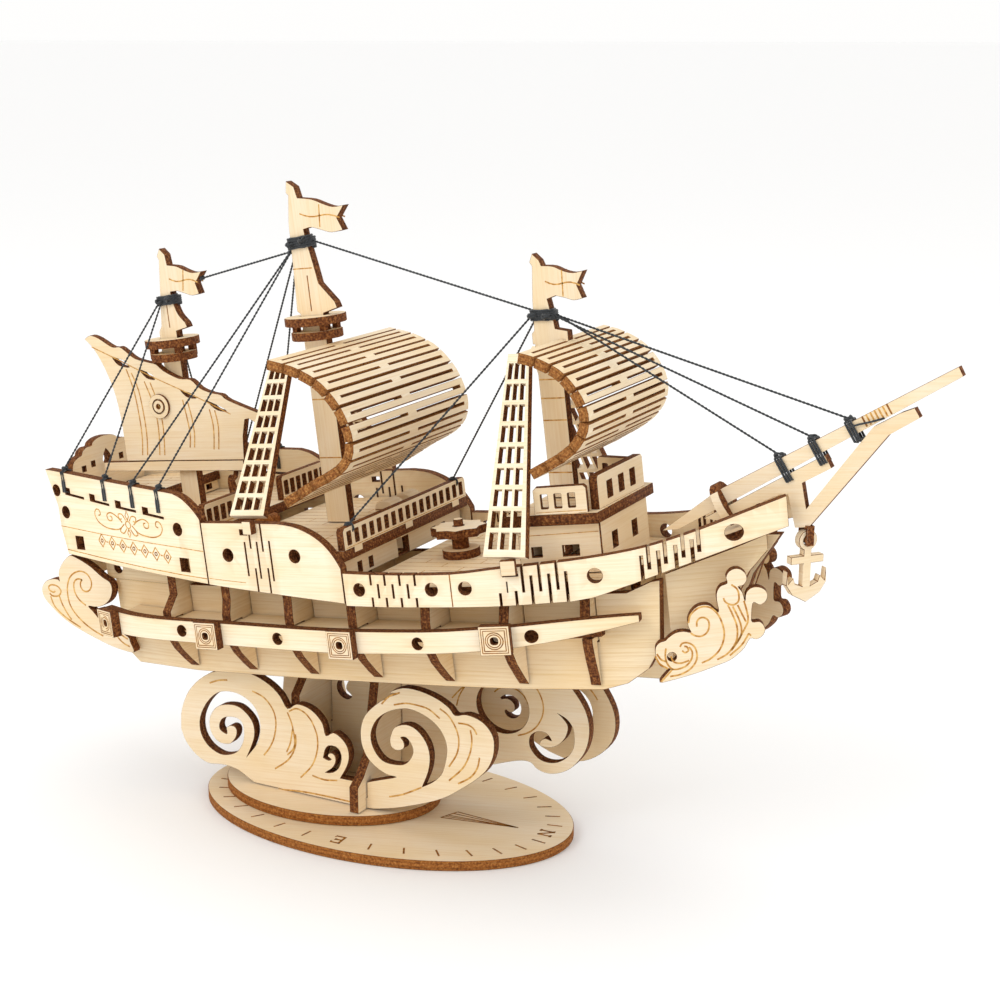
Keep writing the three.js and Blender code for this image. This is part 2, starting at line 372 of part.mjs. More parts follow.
// ================= masts, nests =================
const MM = MAST_MAIN, MZ = MAST_MIZZEN, MF = MAST_FORE;
const MAIN_MAST = [[-13.6, QUARTER_H + T + G], [-5.2, QUARTER_H + T + G], [-5.2, 103.2], [-5.2, 111.2], [0.1, 112.6], [-0.6, 114.6], [-6.6, 124], [-7.6, 134], [-8.4, 138.6], [2.4, 135.5], [3.6, 139.5], [6.5, 143], [-1, 144.4], [-9.6, 147.6], [-10.4, 150.4], [-13.0, 151.9], [-13.6, 139.4], [-14.0, 126], [-14.8, 112.2], [-13.6, 111.2]];
const MIZZEN_MAST = [[-69.6, POOP_H + T + G], [-62.6, POOP_H + T + G], [-62.6, 108.4], [-58, 109.4], [-58.6, 111], [-62, 116.4], [-62.8, 121.4], [-52.3, 119.2], [-50.6, 123], [-49, 127], [-56, 128], [-62.4, 130.6], [-62.8, 133.4], [-64.8, 135], [-66.4, 133], [-67.0, 121], [-68.6, 108.6], [-69.6, 108.4]];
const FORE_MAST = [[66.4, FC_H + T + G], [74.4, FC_H + T + G], [74.4, 98.4], [77.3, 99], [77.3, 101.8], [73.4, 102.6], [71.6, 110.8], [82.4, 110.4], [81.8, 114.6], [81.4, 118.7], [75, 119.4], [70.4, 121.6], [69.6, 123.8], [67.3, 123.9], [67.0, 111], [66.6, 102.4], [65.7, 101.4], [65.7, 98.4], [66.4, 98.4]];
put('main_mast', side(MAIN_MAST, 0), 'ply_light');
put('mizzen_mast', side(MIZZEN_MAST, 0), 'ply_light');
put('fore_mast', side(FORE_MAST, 0), 'ply_light');
{
  const nest = (c, h, r0, r1, hs) => {
    let g = flat(ellipse(r0, r0, 20, c, 0), h + 4.6, 2.6);
    g = U(g, flat(ellipse(r1, r1, 20, c, 0), h, 2.6));
    for (const [dx, dy] of [[5, 3.6], [-5, 3.6], [5, -3.6], [-5, -3.6]]) g = U(g, box(c + dx - 1, c + dx + 1, dy - 1, dy + 1, h + 1, h + 6));
    return D(g, box(c - hs - G, c + hs + G, -T / 2 - G, T / 2 + G, h - 5, h + 20));
  };
  put('main_nest', nest(MM - 0.0, 103.4, 9.6, 8.0, 4.3), 'ply');
  put('mizzen_nest', nest(MZ - 0.1, 99.0, 8.8, 7.4, 3.6), 'ply');
}
// ================= sails =================
const LY = -T / 2 - G - 1.3;     // plane of the lateen sail, starboard of the mizzen mast
{
  const yard = [[-103, 108.6], [-92, 106.4], [-80.3, 101.6], [-57.4, 91.6], [-34.4, 79.6], [-33.8, 76.4], [-40, 78.6], [-41.2, 65.0], [-91.6, 65.2], [-91.4, 79.6], [-93.2, 90.8], [-97.4, 98.6], [-101.2, 105.2]];
  const lens = (s, h) => [[s - 5, h + 2.5], [s, h + 0.9], [s + 5, h - 2.3], [s, h - 0.9]];
  put('lateen_sail', U(side(yard, LY, 2.6, [lens(-86, 100), lens(-74.5, 95.2), lens(-63, 90.2), lens(-51.5, 84.6)]), side([[-97.5, 63.4], [-41.5, 63.0], [-41.5, 66.1], [-97.5, 66.3]], LY, 2.6)), 'ply_light');
}
function sail(profile, half, t, cut) {
  const n = profile.length, o = [], i = [];
  for (let k = 0; k < n; k++) {
    const a = profile[Math.max(0, k - 1)], b = profile[Math.min(n - 1, k + 1)], l = Math.hypot(b[0] - a[0], b[1] - a[1]);
    const nx = -(b[1] - a[1]) / l, ny = (b[0] - a[0]) / l;
    o.push(profile[k]); i.push([profile[k][0] - nx * t, profile[k][1] - ny * t]);
  }
  const g = side([...o, ...i.reverse()], 0, 2 * half);
  return cut ? D(g, cut) : g;
}
// outer line of each sail, top edge first
const MAIN_SAIL = [[-4.6, 101.8], [3.0, 99.8], [7.6, 97.8], [12, 95.2], [15.6, 91.6], [18.6, 87.4], [20.6, 82.6], [21.6, 77.6], [20.8, 72.4], [17.6, 68.4], [12.8, 65.6], [7.1, 63.2], [2.0, 60.6], [-4.4, 57.4]];
const FORE_SAIL = [[74.8, 99.6], [79, 98.4], [83, 96.6], [87, 94.2], [90, 91.0], [92.6, 87.0], [94.0, 83.0], [94.0, 79.0], [92.6, 75.4], [89.4, 71.6], [84.6, 68.4], [79.6, 66.0], [75.4, 64.0]];
put('main_sail', sail(MAIN_SAIL, 34.5, 3.0, box(-30, -5.2 + G, -T / 2 - G, T / 2 + G, 0, 200)), 'ply_light');
put('fore_sail', sail(FORE_SAIL, 28.0, 3.0, box(30, 77.6, -T / 2 - G, T / 2 + G, 60, 200)), 'ply_light');
// ================= shroud ladders =================
{
  function ladder(b0, b1, t0, t1, yb, hb, yt, ht, rows, tabS, tabW) {
    const L = Math.hypot(yt - yb, ht - hb);
    const ux = (yt - yb) / L, uh = (ht - hb) / L;
    const holes = [];
    const e = (k) => [b0 + (t0 - b0) * k, b1 + (t1 - b1) * k];
    for (let r = 0; r < rows; r++) {
      const k0 = 0.035 + r * 0.94 / rows, k1 = k0 + 0.94 / rows - 1.3 / L;
      for (let c = 0; c < 3; c++) {
        const q = (k, f) => { const [a, b] = e(k); return [a + (b - a) * f, k * L]; };
        const fa = 0.10 + c * 0.285, fb = fa + 0.215;
        holes.push([q(k0, fa), q(k0, fb), q(k1, fb), q(k1, fa)]);
      }
    }
    const poly = [[b0, 0], [b1, 0], [t1, L], [t0, L]];
    const g = prism(poly, 2.4, holes);
    // local (x, y, z) -> s = x, in-plane y runs up and inboard, z is the thickness
    const m = new THREE.Matrix4().set(1, 0, 0, 0, 0, ux, -uh, yb, 0, uh, ux, hb, 0, 0, 0, 1);
    g.applyMatrix4(m);
    return g;
  }
  both('main_ladder', ladder(-23.4, -11.0, -21.2, -14.2, -36.0, 54.6, -7.4, 97.2, 9, -19, 3.4), 'ply_light');
  both('fore_ladder', ladder(60.8, 74.2, 60.6, 67.4, -33.6, 42.6, -5.6, 95.6, 9, 68, 3.4), 'ply_light');
}
// ================= bowsprit and anchor =================
const SPAR = [[101, 43.2], [118.4, 54.6], [188.2, 87.1], [189.2, 84.6], [150, 65.2], [120.4, 50.6], [106, 43.6]];
const BRACE = [[114, 46.8], [138.2, 58.4], [150.6, 64.4], [152.2, 60.8], [143.6, 56.8], [144.2, 49.4], [164.6, 71.9], [172.2, 75.4], [176.0, 76.6], [177.2, 74.0], [168.6, 69.6], [144.6, 44.4], [140.6, 44.2], [139.4, 53.6], [137, 53.6], [118, 46.2]];
{
  // cap ring around both spars
  const g = prism(ellipse(5.2, 6.4, 18), 2.6, [rect(-1.9, 1.9, -4.9, -0.1)]);
  g.applyMatrix4(new THREE.Matrix4().set(0, 0, 1, -1.3, 1, 0, 0, 0, 0, 1, 0, 0, 0, 0, 0, 1));
  g.rotateY(-25 * Math.PI / 180);
  g.translate(120.3, 0, 50.8);
  put('bowsprit', U(side(SPAR, 0, 3.0), g), 'ply_light');
}
// anchor built upright in the world frame about its hanging point
const AP = new THREE.Vector3(143.0, 0, 40.6).applyMatrix4(SHIP);
{
  const m = new THREE.Matrix4().makeTranslation(AP.x, AP.y, AP.z).multiply(new THREE.Matrix4().makeRotationZ(ANCHOR_YAW));
  const sh = [[-1.2, -2.3], [-1.2, -4.4], [-5.2, -4.4], [-5.2, -6.6], [-1.2, -6.6], [-1.2, -13.2], [-3.6, -12.2], [-4.2, -10.4], [-5.8, -12.0], [-6.2, -8.4], [-6.4, -12.4], [-4.4, -15.4], [0, -17.8], [4.4, -15.4], [6.4, -12.4], [6.2, -8.4], [5.8, -12.0], [4.2, -10.4], [3.6, -12.2], [1.2, -13.2], [1.2, -6.6], [5.2, -6.6], [5.2, -4.4], [1.2, -4.4], [1.2, -2.3]];
  let a = side(sh, 0, 2.4);
  a = U(a, D(side(ellipse(2.9, 2.9, 20), 0, 2.4), side(ellipse(1.55, 1.55, 14), 0, 9)));
  a.applyMatrix4(m);
  put('anchor', a, 'ply', false);
  const pin = new THREE.CylinderGeometry(1.1, 1.1, 4.4, 14);
  pin.applyMatrix4(m);
  // bracket: a small cheek each side of the anchor eye joined above it to the brace
  let lug = U(pin, new THREE.BoxGeometry(2.2, 0.8, 5.6).translate(0, 1.2 + 0.35 + 0.4, 1.4).applyMatrix4(m), new THREE.BoxGeometry(2.2, 0.8, 5.6).translate(0, -(1.2 + 0.35 + 0.4), 1.4).applyMatrix4(m), new THREE.BoxGeometry(2.2, 4.8, 1.0).translate(0, 0, 3.8).applyMatrix4(m));
  put('bowsprit_brace', U(side(BRACE, 0, 3.0).applyMatrix4(SHIP), lug), 'ply_light', false);
}
// ================= rigging =================
{
  const band = (s0, s1, h0, h1, y = T / 2 + 0.25) => flat([[s0 - 0.9, -y - 0.9], [s1 + 0.9, -y - 0.9], [s1 + 0.9, y + 0.9], [s0 - 0.9, y + 0.9]], h0, h1 - h0, [rect(s0, s1, -y, y)]);
  const castle = (s, sg, h) => [s, sg * (lerp(B_TAB, s) - T / 2), h];
  // mizzen
  let z = band(-67.95, -61.9, 117.2, 119.6);
  for (const sg of [-1, 1]) {
    z = U(z, thread([[-67.2, sg * 2.4, 118.4], castle(-101, sg, 67.4)]));
    z = U(z, thread([[-66.5, sg * 2.4, 118.4], [-71.8, sg * 9.6, 106.4], castle(-81, sg, 65.9)]));
  }
  put('rigging_mizzen', z, 'thread');
  // main
  let m = band(-14.4, -7.3, 131.6, 134.4);
  for (const sg of [-1, 1]) {
    m = U(m, thread([[-14.0, sg * 2.4, 133], castle(-67, sg, 64.6)]), thread([[-13.6, sg * 2.4, 133], castle(-54, sg, 63.6)]));
  }
  m = U(m, thread([[-14.8, 0, 133], [-48.2, 0, 126.0]]), thread([[-6.8, 0, 133.2], [65.4, 0, 108.4]]));
  put('rigging_main', m, 'thread');
  // fore
  let f = band(66.3, 72.8, 105.4, 107.8);
  for (const sg of [-1, 1]) {
    f = U(f, thread([[66.0, sg * 2.3, 106.6], [14.2, sg * 31.4, 52.0]]));
  }
  const stay = (s) => { const t = (s - 118.4) / (188.2 - 118.4), h = 54.6 + t * (87.1 - 54.6); return [s, h]; };
  for (const [s, y] of [[158, 0.2], [147.5, -1.0], [137.5, 1.0]]) {
    const [a, h] = stay(s);
    const ang = Math.atan2(32.5, 69.8);
    const r = prism([[-1.0, -3.3], [0.2, -3.3]].concat([[0.2, 3.3], [-1.0, 3.3]]), 0.1);
    f = U(f, thread([[73.2, y, 106.8], [a, y, h + 1.0]]));
  }
  put('rigging_fore', f, 'thread');
}

export default root;
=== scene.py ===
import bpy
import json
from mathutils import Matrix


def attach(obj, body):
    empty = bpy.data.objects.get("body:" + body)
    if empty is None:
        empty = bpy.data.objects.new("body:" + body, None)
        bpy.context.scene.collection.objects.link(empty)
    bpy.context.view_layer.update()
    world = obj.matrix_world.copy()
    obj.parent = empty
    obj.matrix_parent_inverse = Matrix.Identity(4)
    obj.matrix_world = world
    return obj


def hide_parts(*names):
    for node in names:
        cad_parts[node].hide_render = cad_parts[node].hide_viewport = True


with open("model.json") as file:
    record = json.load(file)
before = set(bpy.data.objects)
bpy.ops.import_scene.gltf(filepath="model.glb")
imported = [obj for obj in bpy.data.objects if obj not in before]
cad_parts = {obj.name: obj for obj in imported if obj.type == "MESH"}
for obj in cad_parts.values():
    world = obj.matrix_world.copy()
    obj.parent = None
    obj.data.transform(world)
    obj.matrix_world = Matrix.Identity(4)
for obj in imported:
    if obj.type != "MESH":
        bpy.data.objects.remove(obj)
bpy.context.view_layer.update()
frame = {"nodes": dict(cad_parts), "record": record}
import bpy, bmesh, math, json, random
from mathutils import Matrix, Vector

NODES = frame["nodes"]
RECORD = frame["record"]
BODY = {n: b for b, ns in RECORD["behaviour"]["bodies"].items() for n in ns}
rng = random.Random(7)
MM = 0.001
T = 3.2
PITCH = math.radians(7.0)
SHIP = Matrix.Translation((0, 0, 52.0)) @ Matrix.Rotation(-PITCH, 4, 'Y')
ID = Matrix.Identity(4)
scene = bpy.context.scene

# ------------------------------------------------------------------ materials
def new_mat(name):
    m = bpy.data.materials.new(name)
    m.use_nodes = True
    nt = m.node_tree
    for n in list(nt.nodes):
        nt.nodes.remove(n)
    out = nt.nodes.new('ShaderNodeOutputMaterial')
    b = nt.nodes.new('ShaderNodeBsdfPrincipled')
    nt.links.new(b.outputs['BSDF'], out.inputs['Surface'])
    return m, nt, b

def N(nt, kind, **kw):
    n = nt.nodes.new(kind)
    for k, v in kw.items():
        setattr(n, k, v)
    return n

def ramp(nt, stops, src):
    r = nt.nodes.new('ShaderNodeValToRGB')
    while len(r.color_ramp.elements) < len(stops):
        r.color_ramp.elements.new(0.5)
    for e, (p, c) in zip(r.color_ramp.elements, stops):
        e.position = p
        e.color = (c[0], c[1], c[2], 1)
    nt.links.new(src, r.inputs['Fac'])
    return r

def hexc(h):
    v = [int(h[i:i + 2], 16) / 255 for i in (0, 2, 4)]
    return tuple(x / 12.92 if x <= 0.04045 else ((x + 0.055) / 1.055) ** 2.4 for x in v)

def mix(nt, a, b, fac, blend='MIX'):
    m = nt.nodes.new('ShaderNodeMix')
    m.data_type = 'RGBA'
    m.blend_type = blend
    for sock, val in ((m.inputs[6], a), (m.inputs[7], b), (m.inputs[0], fac)):
        if hasattr(val, 'is_linked') or hasattr(val, 'links'):
            nt.links.new(val, sock)
        elif isinstance(val, (int, float)):
            sock.default_value = val
        else:
            sock.default_value = (val[0], val[1], val[2], 1)
    return m.outputs[2]

def grain_coords(nt, sx, sy):
    uv = N(nt, 'ShaderNodeUVMap'); uv.uv_map = 'grain'
    mp = N(nt, 'ShaderNodeMapping')
    mp.inputs['Scale'].default_value = (sx, sy, 1)
    nt.links.new(uv.outputs['UV'], mp.inputs['Vector'])
    return mp.outputs['Vector']

def ply_face(name, pale, warm, streak, depth=1.0):
    m, nt, b = new_mat(name)
    # long fibres: noise squeezed across the grain
    n1 = N(nt, 'ShaderNodeTexNoise'); n1.inputs['Scale'].default_value = 1.0; n1.inputs['Detail'].default_value = 5; n1.inputs['Roughness'].default_value = 0.62
    nt.links.new(grain_coords(nt, 0.035, 1.6), n1.inputs['Vector'])
    # very fine pores
    n2 = N(nt, 'ShaderNodeTexNoise'); n2.inputs['Scale'].default_value = 1.0; n2.inputs['Detail'].default_value = 3
    nt.links.new(grain_coords(nt, 0.22, 5.5), n2.inputs['Vector'])
    # broad warm and pale areas
    n3 = N(nt, 'ShaderNodeTexNoise'); n3.inputs['Scale'].default_value = 1.0; n3.inputs['Detail'].default_value = 2
    nt.links.new(grain_coords(nt, 0.03, 0.075), n3.inputs['Vector'])
    base = ramp(nt, [(0.30, pale), (0.72, warm)], n3.outputs['Fac'])
    f1 = ramp(nt, [(0.44, (0, 0, 0)), (0.74, (1, 1, 1))], n1.outputs['Fac'])
    c1 = mix(nt, base.outputs['Color'], streak, f1.outputs['Color'], 'MIX')
    # soften the streaks
    c2 = mix(nt, base.outputs['Color'], c1, 0.55 * depth)
    f2 = ramp(nt, [(0.56, (0, 0, 0)), (0.70, (1, 1, 1))], n2.outputs['Fac'])
    c3a = mix(nt, c2, streak, f2.outputs['Color'])
    c3 = mix(nt, c2, c3a, 0.22 * depth)
    info = N(nt, 'ShaderNodeObjectInfo')
    tone = ramp(nt, [(0.0, (0.955, 0.94, 0.915)), (1.0, (1, 1, 1))], info.outputs['Random'])
    c4 = mix(nt, c3, tone.outputs['Color'], 1.0, 'MULTIPLY')
    # toasted rim next to every laser cut
    at = N(nt, 'ShaderNodeAttribute'); at.attribute_name = 'rim'; at.attribute_type = 'GEOMETRY'
    c5 = mix(nt, c4, hexc('C79A5C'), at.outputs['Fac'])
    nt.links.new(c5, b.inputs['Base Color'])
    r = N(nt, 'ShaderNodeMapRange'); r.inputs['To Min'].default_value = 0.58; r.inputs['To Max'].default_value = 0.78
    nt.links.new(n1.outputs['Fac'], r.inputs['Value'])
    nt.links.new(r.outputs['Result'], b.inputs['Roughness'])
    b.inputs['Specular IOR Level'].default_value = 0.28
    bp = N(nt, 'ShaderNodeBump'); bp.inputs['Strength'].default_value = 0.22; bp.inputs['Distance'].default_value = 0.00012
    add = N(nt, 'ShaderNodeMath', operation='ADD')
    nt.links.new(n1.outputs['Fac'], add.inputs[0]); nt.links.new(n2.outputs['Fac'], add.inputs[1])
    nt.links.new(add.outputs[0], bp.inputs['Height'])
    nt.links.new(bp.outputs['Normal'], b.inputs['Normal'])
    return m

def ply_edge(name, dark, mid, light, layers=True):
    m, nt, b = new_mat(name)
    tc = N(nt, 'ShaderNodeTexCoord')
    n1 = N(nt, 'ShaderNodeTexNoise'); n1.inputs['Scale'].default_value = 1500; n1.inputs['Detail'].default_value = 4
    nt.links.new(tc.outputs['Object'], n1.inputs['Vector'])
    n2 = N(nt, 'ShaderNodeTexNoise'); n2.inputs['Scale'].default_value = 4600; n2.inputs['Detail'].default_value = 2
    nt.links.new(tc.outputs['Object'], n2.inputs['Vector'])
    c = ramp(nt, [(0.30, dark), (0.52, mid), (0.74, light)], n1.outputs['Fac'])
    f2 = ramp(nt, [(0.42, (0, 0, 0)), (0.62, (1, 1, 1))], n2.outputs['Fac'])
    c2a = mix(nt, c.outputs['Color'], dark, f2.outputs['Color'])
    c2 = mix(nt, c.outputs['Color'], c2a, 0.55)
    # three veneers: the glue lines between them are darker, and the edge is darkest at both faces
    at = N(nt, 'ShaderNodeAttribute'); at.attribute_name = 'thick'; at.attribute_type = 'GEOMETRY'
    lay = ramp(nt, [(0.0, (0.5, 0.5, 0.5)), (0.10, (1, 1, 1)), (0.32, (0.62, 0.62, 0.62)), (0.38, (1, 1, 1)), (0.62, (1, 1, 1)), (0.68, (0.62, 0.62, 0.62)), (0.9, (1, 1, 1)), (1.0, (0.5, 0.5, 0.5))], at.outputs['Fac'])
    c3 = mix(nt, c2, lay.outputs['Color'], 0.75, 'MULTIPLY')
    nt.links.new(c3, b.inputs['Base Color'])
    b.inputs['Roughness'].default_value = 0.82
    b.inputs['Specular IOR Level'].default_value = 0.2
    bp = N(nt, 'ShaderNodeBump'); bp.inputs['Strength'].default_value = 0.35; bp.inputs['Distance'].default_value = 0.00015
    nt.links.new(n2.outputs['Fac'], bp.inputs['Height'])
    nt.links.new(bp.outputs['Normal'], b.inputs['Normal'])
    return m

def engraved(name, dark, light):
    m, nt, b = new_mat(name)
    tc = N(nt, 'ShaderNodeTexCoord')
    n1 = N(nt, 'ShaderNodeTexNoise'); n1.inputs['Scale'].default_value = 700; n1.inputs['Detail'].default_value = 3
    nt.links.new(tc.outputs['Object'], n1.inputs['Vector'])
    c = ramp(nt, [(0.35, dark), (0.65, light)], n1.outputs['Fac'])
    nt.links.new(c.outputs['Color'], b.inputs['Base Color'])
    b.inputs['Roughness'].default_value = 0.85
    b.inputs['Specular IOR Level'].default_value = 0.15
    bp = N(nt, 'ShaderNodeBump'); bp.inputs['Strength'].default_value = 0.3; bp.inputs['Distance'].default_value = 0.0001
    nt.links.new(n1.outputs['Fac'], bp.inputs['Height'])
    nt.links.new(bp.outputs['Normal'], b.inputs['Normal'])
    return m

def thread_mat():
    m, nt, b = new_mat('black_thread')
    tc = N(nt, 'ShaderNodeTexCoord')
    w = N(nt, 'ShaderNodeTexNoise'); w.inputs['Scale'].default_value = 2600; w.inputs['Detail'].default_value = 3
    nt.links.new(tc.outputs['Object'], w.inputs['Vector'])
    c = ramp(nt, [(0.3, (0.006, 0.008, 0.010)), (0.7, (0.028, 0.034, 0.040))], w.outputs['Fac'])
    nt.links.new(c.outputs['Color'], b.inputs['Base Color'])
    b.inputs['Roughness'].default_value = 0.7
    b.inputs['Sheen Weight'].default_value = 0.25
    bp = N(nt, 'ShaderNodeBump'); bp.inputs['Strength'].default_value = 0.6; bp.inputs['Distance'].default_value = 0.0001
    nt.links.new(w.outputs['Fac'], bp.inputs['Height'])
    nt.links.new(bp.outputs['Normal'], b.inputs['Normal'])
    return m

FACE = ply_face('birch_face', hexc('FBEFD8'), hexc('F6E2BC'), hexc('E6C690'))
# darker, warmer copy of the birch face for the parts inside the hull: painted shade on the same wood
FACE_INNER_SHADE = ply_face('birch_face_inner_painted_shade', hexc('F6E6C8'), hexc('EFD6AA'), hexc('D9B67C'), 1.2)
EDGE = ply_edge('laser_edge', hexc('3A1A0B'), hexc('7E4924'), hexc('B77C44'))
EDGE_S = ply_edge('laser_edge_sail', hexc('6A3617'), hexc('A97038'), hexc('D09A5A'))
EDGE_G = ply_edge('laser_edge_golden', hexc('6E3C16'), hexc('A9682D'), hexc('C68C4A'))
ENG = engraved('engraved_line', hexc('A9702B'), hexc('DDB068'))
ENG_D = engraved('engraved_dark', hexc('6B3D18'), hexc('A8702F'))
THREAD = thread_mat()
MATS = [FACE, EDGE, ENG, ENG_D]

# ------------------------------------------------------------------ plate maker
def area(p):
    return sum(p[i][0] * p[(i + 1) % len(p)][1] - p[(i + 1) % len(p)][0] * p[i][1] for i in range(len(p))) / 2

def smooth(p, n=4, closed=True):
    out = []
    k = len(p)
    rng_i = range(k) if closed else range(k - 1)
    for i in rng_i:
        p0 = p[(i - 1) % k] if closed or i > 0 else p[0]
        p1 = p[i]
        p2 = p[(i + 1) % k]
        p3 = p[(i + 2) % k] if closed or i + 2 < k else p[-1]
        for j in range(n):
            t = j / n
            out.append(tuple(0.5 * ((2 * p1[a]) + (-p0[a] + p2[a]) * t + (2 * p0[a] - 5 * p1[a] + 4 * p2[a] - p3[a]) * t * t + (-p0[a] + 3 * p1[a] - 3 * p2[a] + p3[a]) * t ** 3) for a in (0, 1)))
    if not closed:
        out.append(tuple(p[-1]))
    return out

def circle(cx, cy, r, n=24, ry=None):
    ry = r if ry is None else ry
    return [(cx + r * math.cos(2 * math.pi * i / n), cy + ry * math.sin(2 * math.pi * i / n)) for i in range(n)]

def rect(x0, x1, y0, y1):
    return [(x0, y0), (x1, y0), (x1, y1), (x0, y1)]

def rrect(x0, x1, y0, y1, r, n=4):
    out = []
    for cx, cy, a0 in ((x1 - r, y0 + r, -90), (x1 - r, y1 - r, 0), (x0 + r, y1 - r, 90), (x0 + r, y0 + r, 180)):
        for i in range(n + 1):
            a = math.radians(a0 + 90 * i / n)
            out.append((cx + r * math.cos(a), cy + r * math.sin(a)))
    return out

def spiral(cx, cy, r0, r1, a0, turns, n=30):
    return [(cx + (r0 + (r1 - r0) * k / n) * math.cos(a0 + turns * 2 * math.pi * k / n), cy + (r0 + (r1 - r0) * k / n) * math.sin(a0 + turns * 2 * math.pi * k / n)) for k in range(n + 1)]

def band(path, w):
    # closed outline round a path whose half width tapers to nothing at both ends
    L, R = [], []
    m = len(path) - 1
    for i, p in enumerate(path):
        a, b = path[max(0, i - 1)], path[min(m, i + 1)]
        dx, dy = b[0] - a[0], b[1] - a[1]
        l = math.hypot(dx, dy) or 1
        hw = 0.5 * w * max(0.06, math.sin(math.pi * (0.03 + 0.94 * i / m))) ** 0.6
        L.append((p[0] - dy / l * hw, p[1] + dx / l * hw))
        R.append((p[0] + dy / l * hw, p[1] - dx / l * hw))
    return L + R[::-1]

def strip(bm, path, w, z, up, mat):
    # shallow engraved groove fill: a closed, very flat bar that follows a path
    m = len(path) - 1
    rows = []
    for i, p in enumerate(path):
        a, b = path[max(0, i - 1)], path[min(m, i + 1)]
        dx, dy = b[0] - a[0], b[1] - a[1]
        l = math.hypot(dx, dy) or 1
        nx, ny = -dy / l * w / 2, dx / l * w / 2
        lo, hi = z - 0.15 * up, z + 0.03 * up
        rows.append([bm.verts.new((p[0] + nx, p[1] + ny, lo)), bm.verts.new((p[0] - nx, p[1] - ny, lo)), bm.verts.new((p[0] - nx, p[1] - ny, hi)), bm.verts.new((p[0] + nx, p[1] + ny, hi))])
    fs = []
    for i in range(m):
        for k in range(4):
            q = [rows[i][k], rows[i][(k + 1) % 4], rows[i + 1][(k + 1) % 4], rows[i + 1][k]]
            fs.append(bm.faces.new(q if up > 0 else q[::-1]))
    fs.append(bm.faces.new(rows[0][::-1] if up > 0 else rows[0]))
    fs.append(bm.faces.new(rows[-1] if up > 0 else rows[-1][::-1]))
    for f in fs:
        f.material_index = mat
    return fs

def bmesh_plate(outline, holes, t, bev):
    cu = bpy.data.curves.new('tmp', 'CURVE')
    cu.dimensions = '2D'
    cu.fill_mode = 'BOTH'
    cu.extrude = t / 2 - bev
    cu.bevel_depth = bev
    cu.bevel_resolution = 0
    cu.offset = -bev
    for poly in [outline] + list(holes):
        sp = cu.splines.new('POLY')
        sp.points.add(len(poly) - 1)
        for q, p in zip(sp.points, poly):
            q.co = (p[0], p[1], 0, 1)
        sp.use_cyclic_u = True
    ob = bpy.data.objects.new('tmp', cu)
    scene.collection.objects.link(ob)
    dg = bpy.context.evaluated_depsgraph_get()
    me = bpy.data.meshes.new_from_object(ob.evaluated_get(dg))
    bpy.data.objects.remove(ob)
    bpy.data.curves.remove(cu)
    bm = bmesh.new()
    bm.from_mesh(me)
    bpy.data.meshes.remove(me)
    bmesh.ops.remove_doubles(bm, verts=bm.verts, dist=0.004)
    return bm

def finish(name, bm, node, mats, smooth_angle=None, smoothing=False):
    me = bpy.data.meshes.new(name)
    bm.to_mesh(me)
    bm.free()
    for m in mats:
        me.materials.append(m)
    ob = bpy.data.objects.new(name, me)
    scene.collection.objects.link(ob)
    if smoothing:
        for p in me.polygons:
            p.use_smooth = True
        me.set_sharp_from_angle(angle=math.radians(32))
    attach(ob, BODY[node])
    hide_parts(node)
    return ob

def plate(name, node, outline, holes=(), t=T, fn=None, mtx=None, bev=0.14, engr=(), edge=EDGE, face=FACE, cuts=(), grain=0.0, mirror=False, parts=(), both=False, smoothing=False, shift=None):
    """outline and holes are (u, v) in mm; fn or mtx carries (u, v, w) to the row frame in mm"""
    bm = bmesh_plate(outline, holes, t, bev)
    if cuts:
        for c in cuts:
            bmesh.ops.bisect_plane(bm, geom=bm.verts[:] + bm.edges[:] + bm.faces[:], plane_co=(c, 0, 0), plane_no=(1, 0, 0), dist=0.0005)
    bm.normal_update()
    uvl = bm.loops.layers.uv.new('grain')
    th = bm.verts.layers.float.new('thick')
    rim = bm.verts.layers.float.new('rim')
    for f in bm.faces:
        f.material_index = 0 if abs(f.normal.z) > 0.9 else 1
    zs = t / 2
    for v in bm.verts:
        v[th] = min(1.0, max(0.0, v.co.z / t + 0.5))
        v[rim] = 0.0
    # faces beside a cut carry a slight toast on their border vertices
    for v in bm.verts:
        if any(f.material_index == 1 for f in v.link_faces):
            v[rim] = 0.22
    for e in engr:
        path, w = e[0], e[1]
        mat = e[2] if len(e) > 2 else 2
        up = e[3] if len(e) > 3 else 0
        for sgn in ((1, -1) if up == 0 else (up,)):
            strip(bm, path, w, sgn * t / 2, sgn, mat)
    ox, oy = rng.uniform(0, 400), rng.uniform(0, 400)
    if cuts and engr:
        for c in cuts:
            bmesh.ops.bisect_plane(bm, geom=bm.verts[:] + bm.edges[:] + bm.faces[:], plane_co=(c + 0.01, 0, 0), plane_no=(1, 0, 0), dist=0.0005)
    cg, sg = math.cos(grain), math.sin(grain)
    for f in bm.faces:
        for l in f.loops:
            u, v = l.vert.co.x, l.vert.co.y
            l[uvl].uv = (cg * u + sg * v + ox, -sg * u + cg * v + oy)
    for v in bm.verts:
        p = Vector(fn(v.co.x, v.co.y, v.co.z)) if fn else (mtx @ v.co)
        if mirror:
            p.y = -p.y
        v.co = p * MM
    # fn keeps handedness or not: make every shell point outward
    bmesh.ops.recalc_face_normals(bm, faces=bm.faces)
    return finish(name, bm, node, [face, edge, ENG, ENG_D], smoothing=smoothing)

def M_side(y, frame_m=SHIP):
    # (u, v, w) -> s = u, h = v, w out to starboard
    return frame_m @ Matrix(((1, 0, 0, 0), (0, 0, -1, y), (0, 1, 0, 0), (0, 0, 0, 1)))

def M_cross(s, frame_m=SHIP):
    return frame_m @ Matrix(((0, 0, 1, s), (1, 0, 0, 0), (0, 1, 0, 0), (0, 0, 0, 1)))

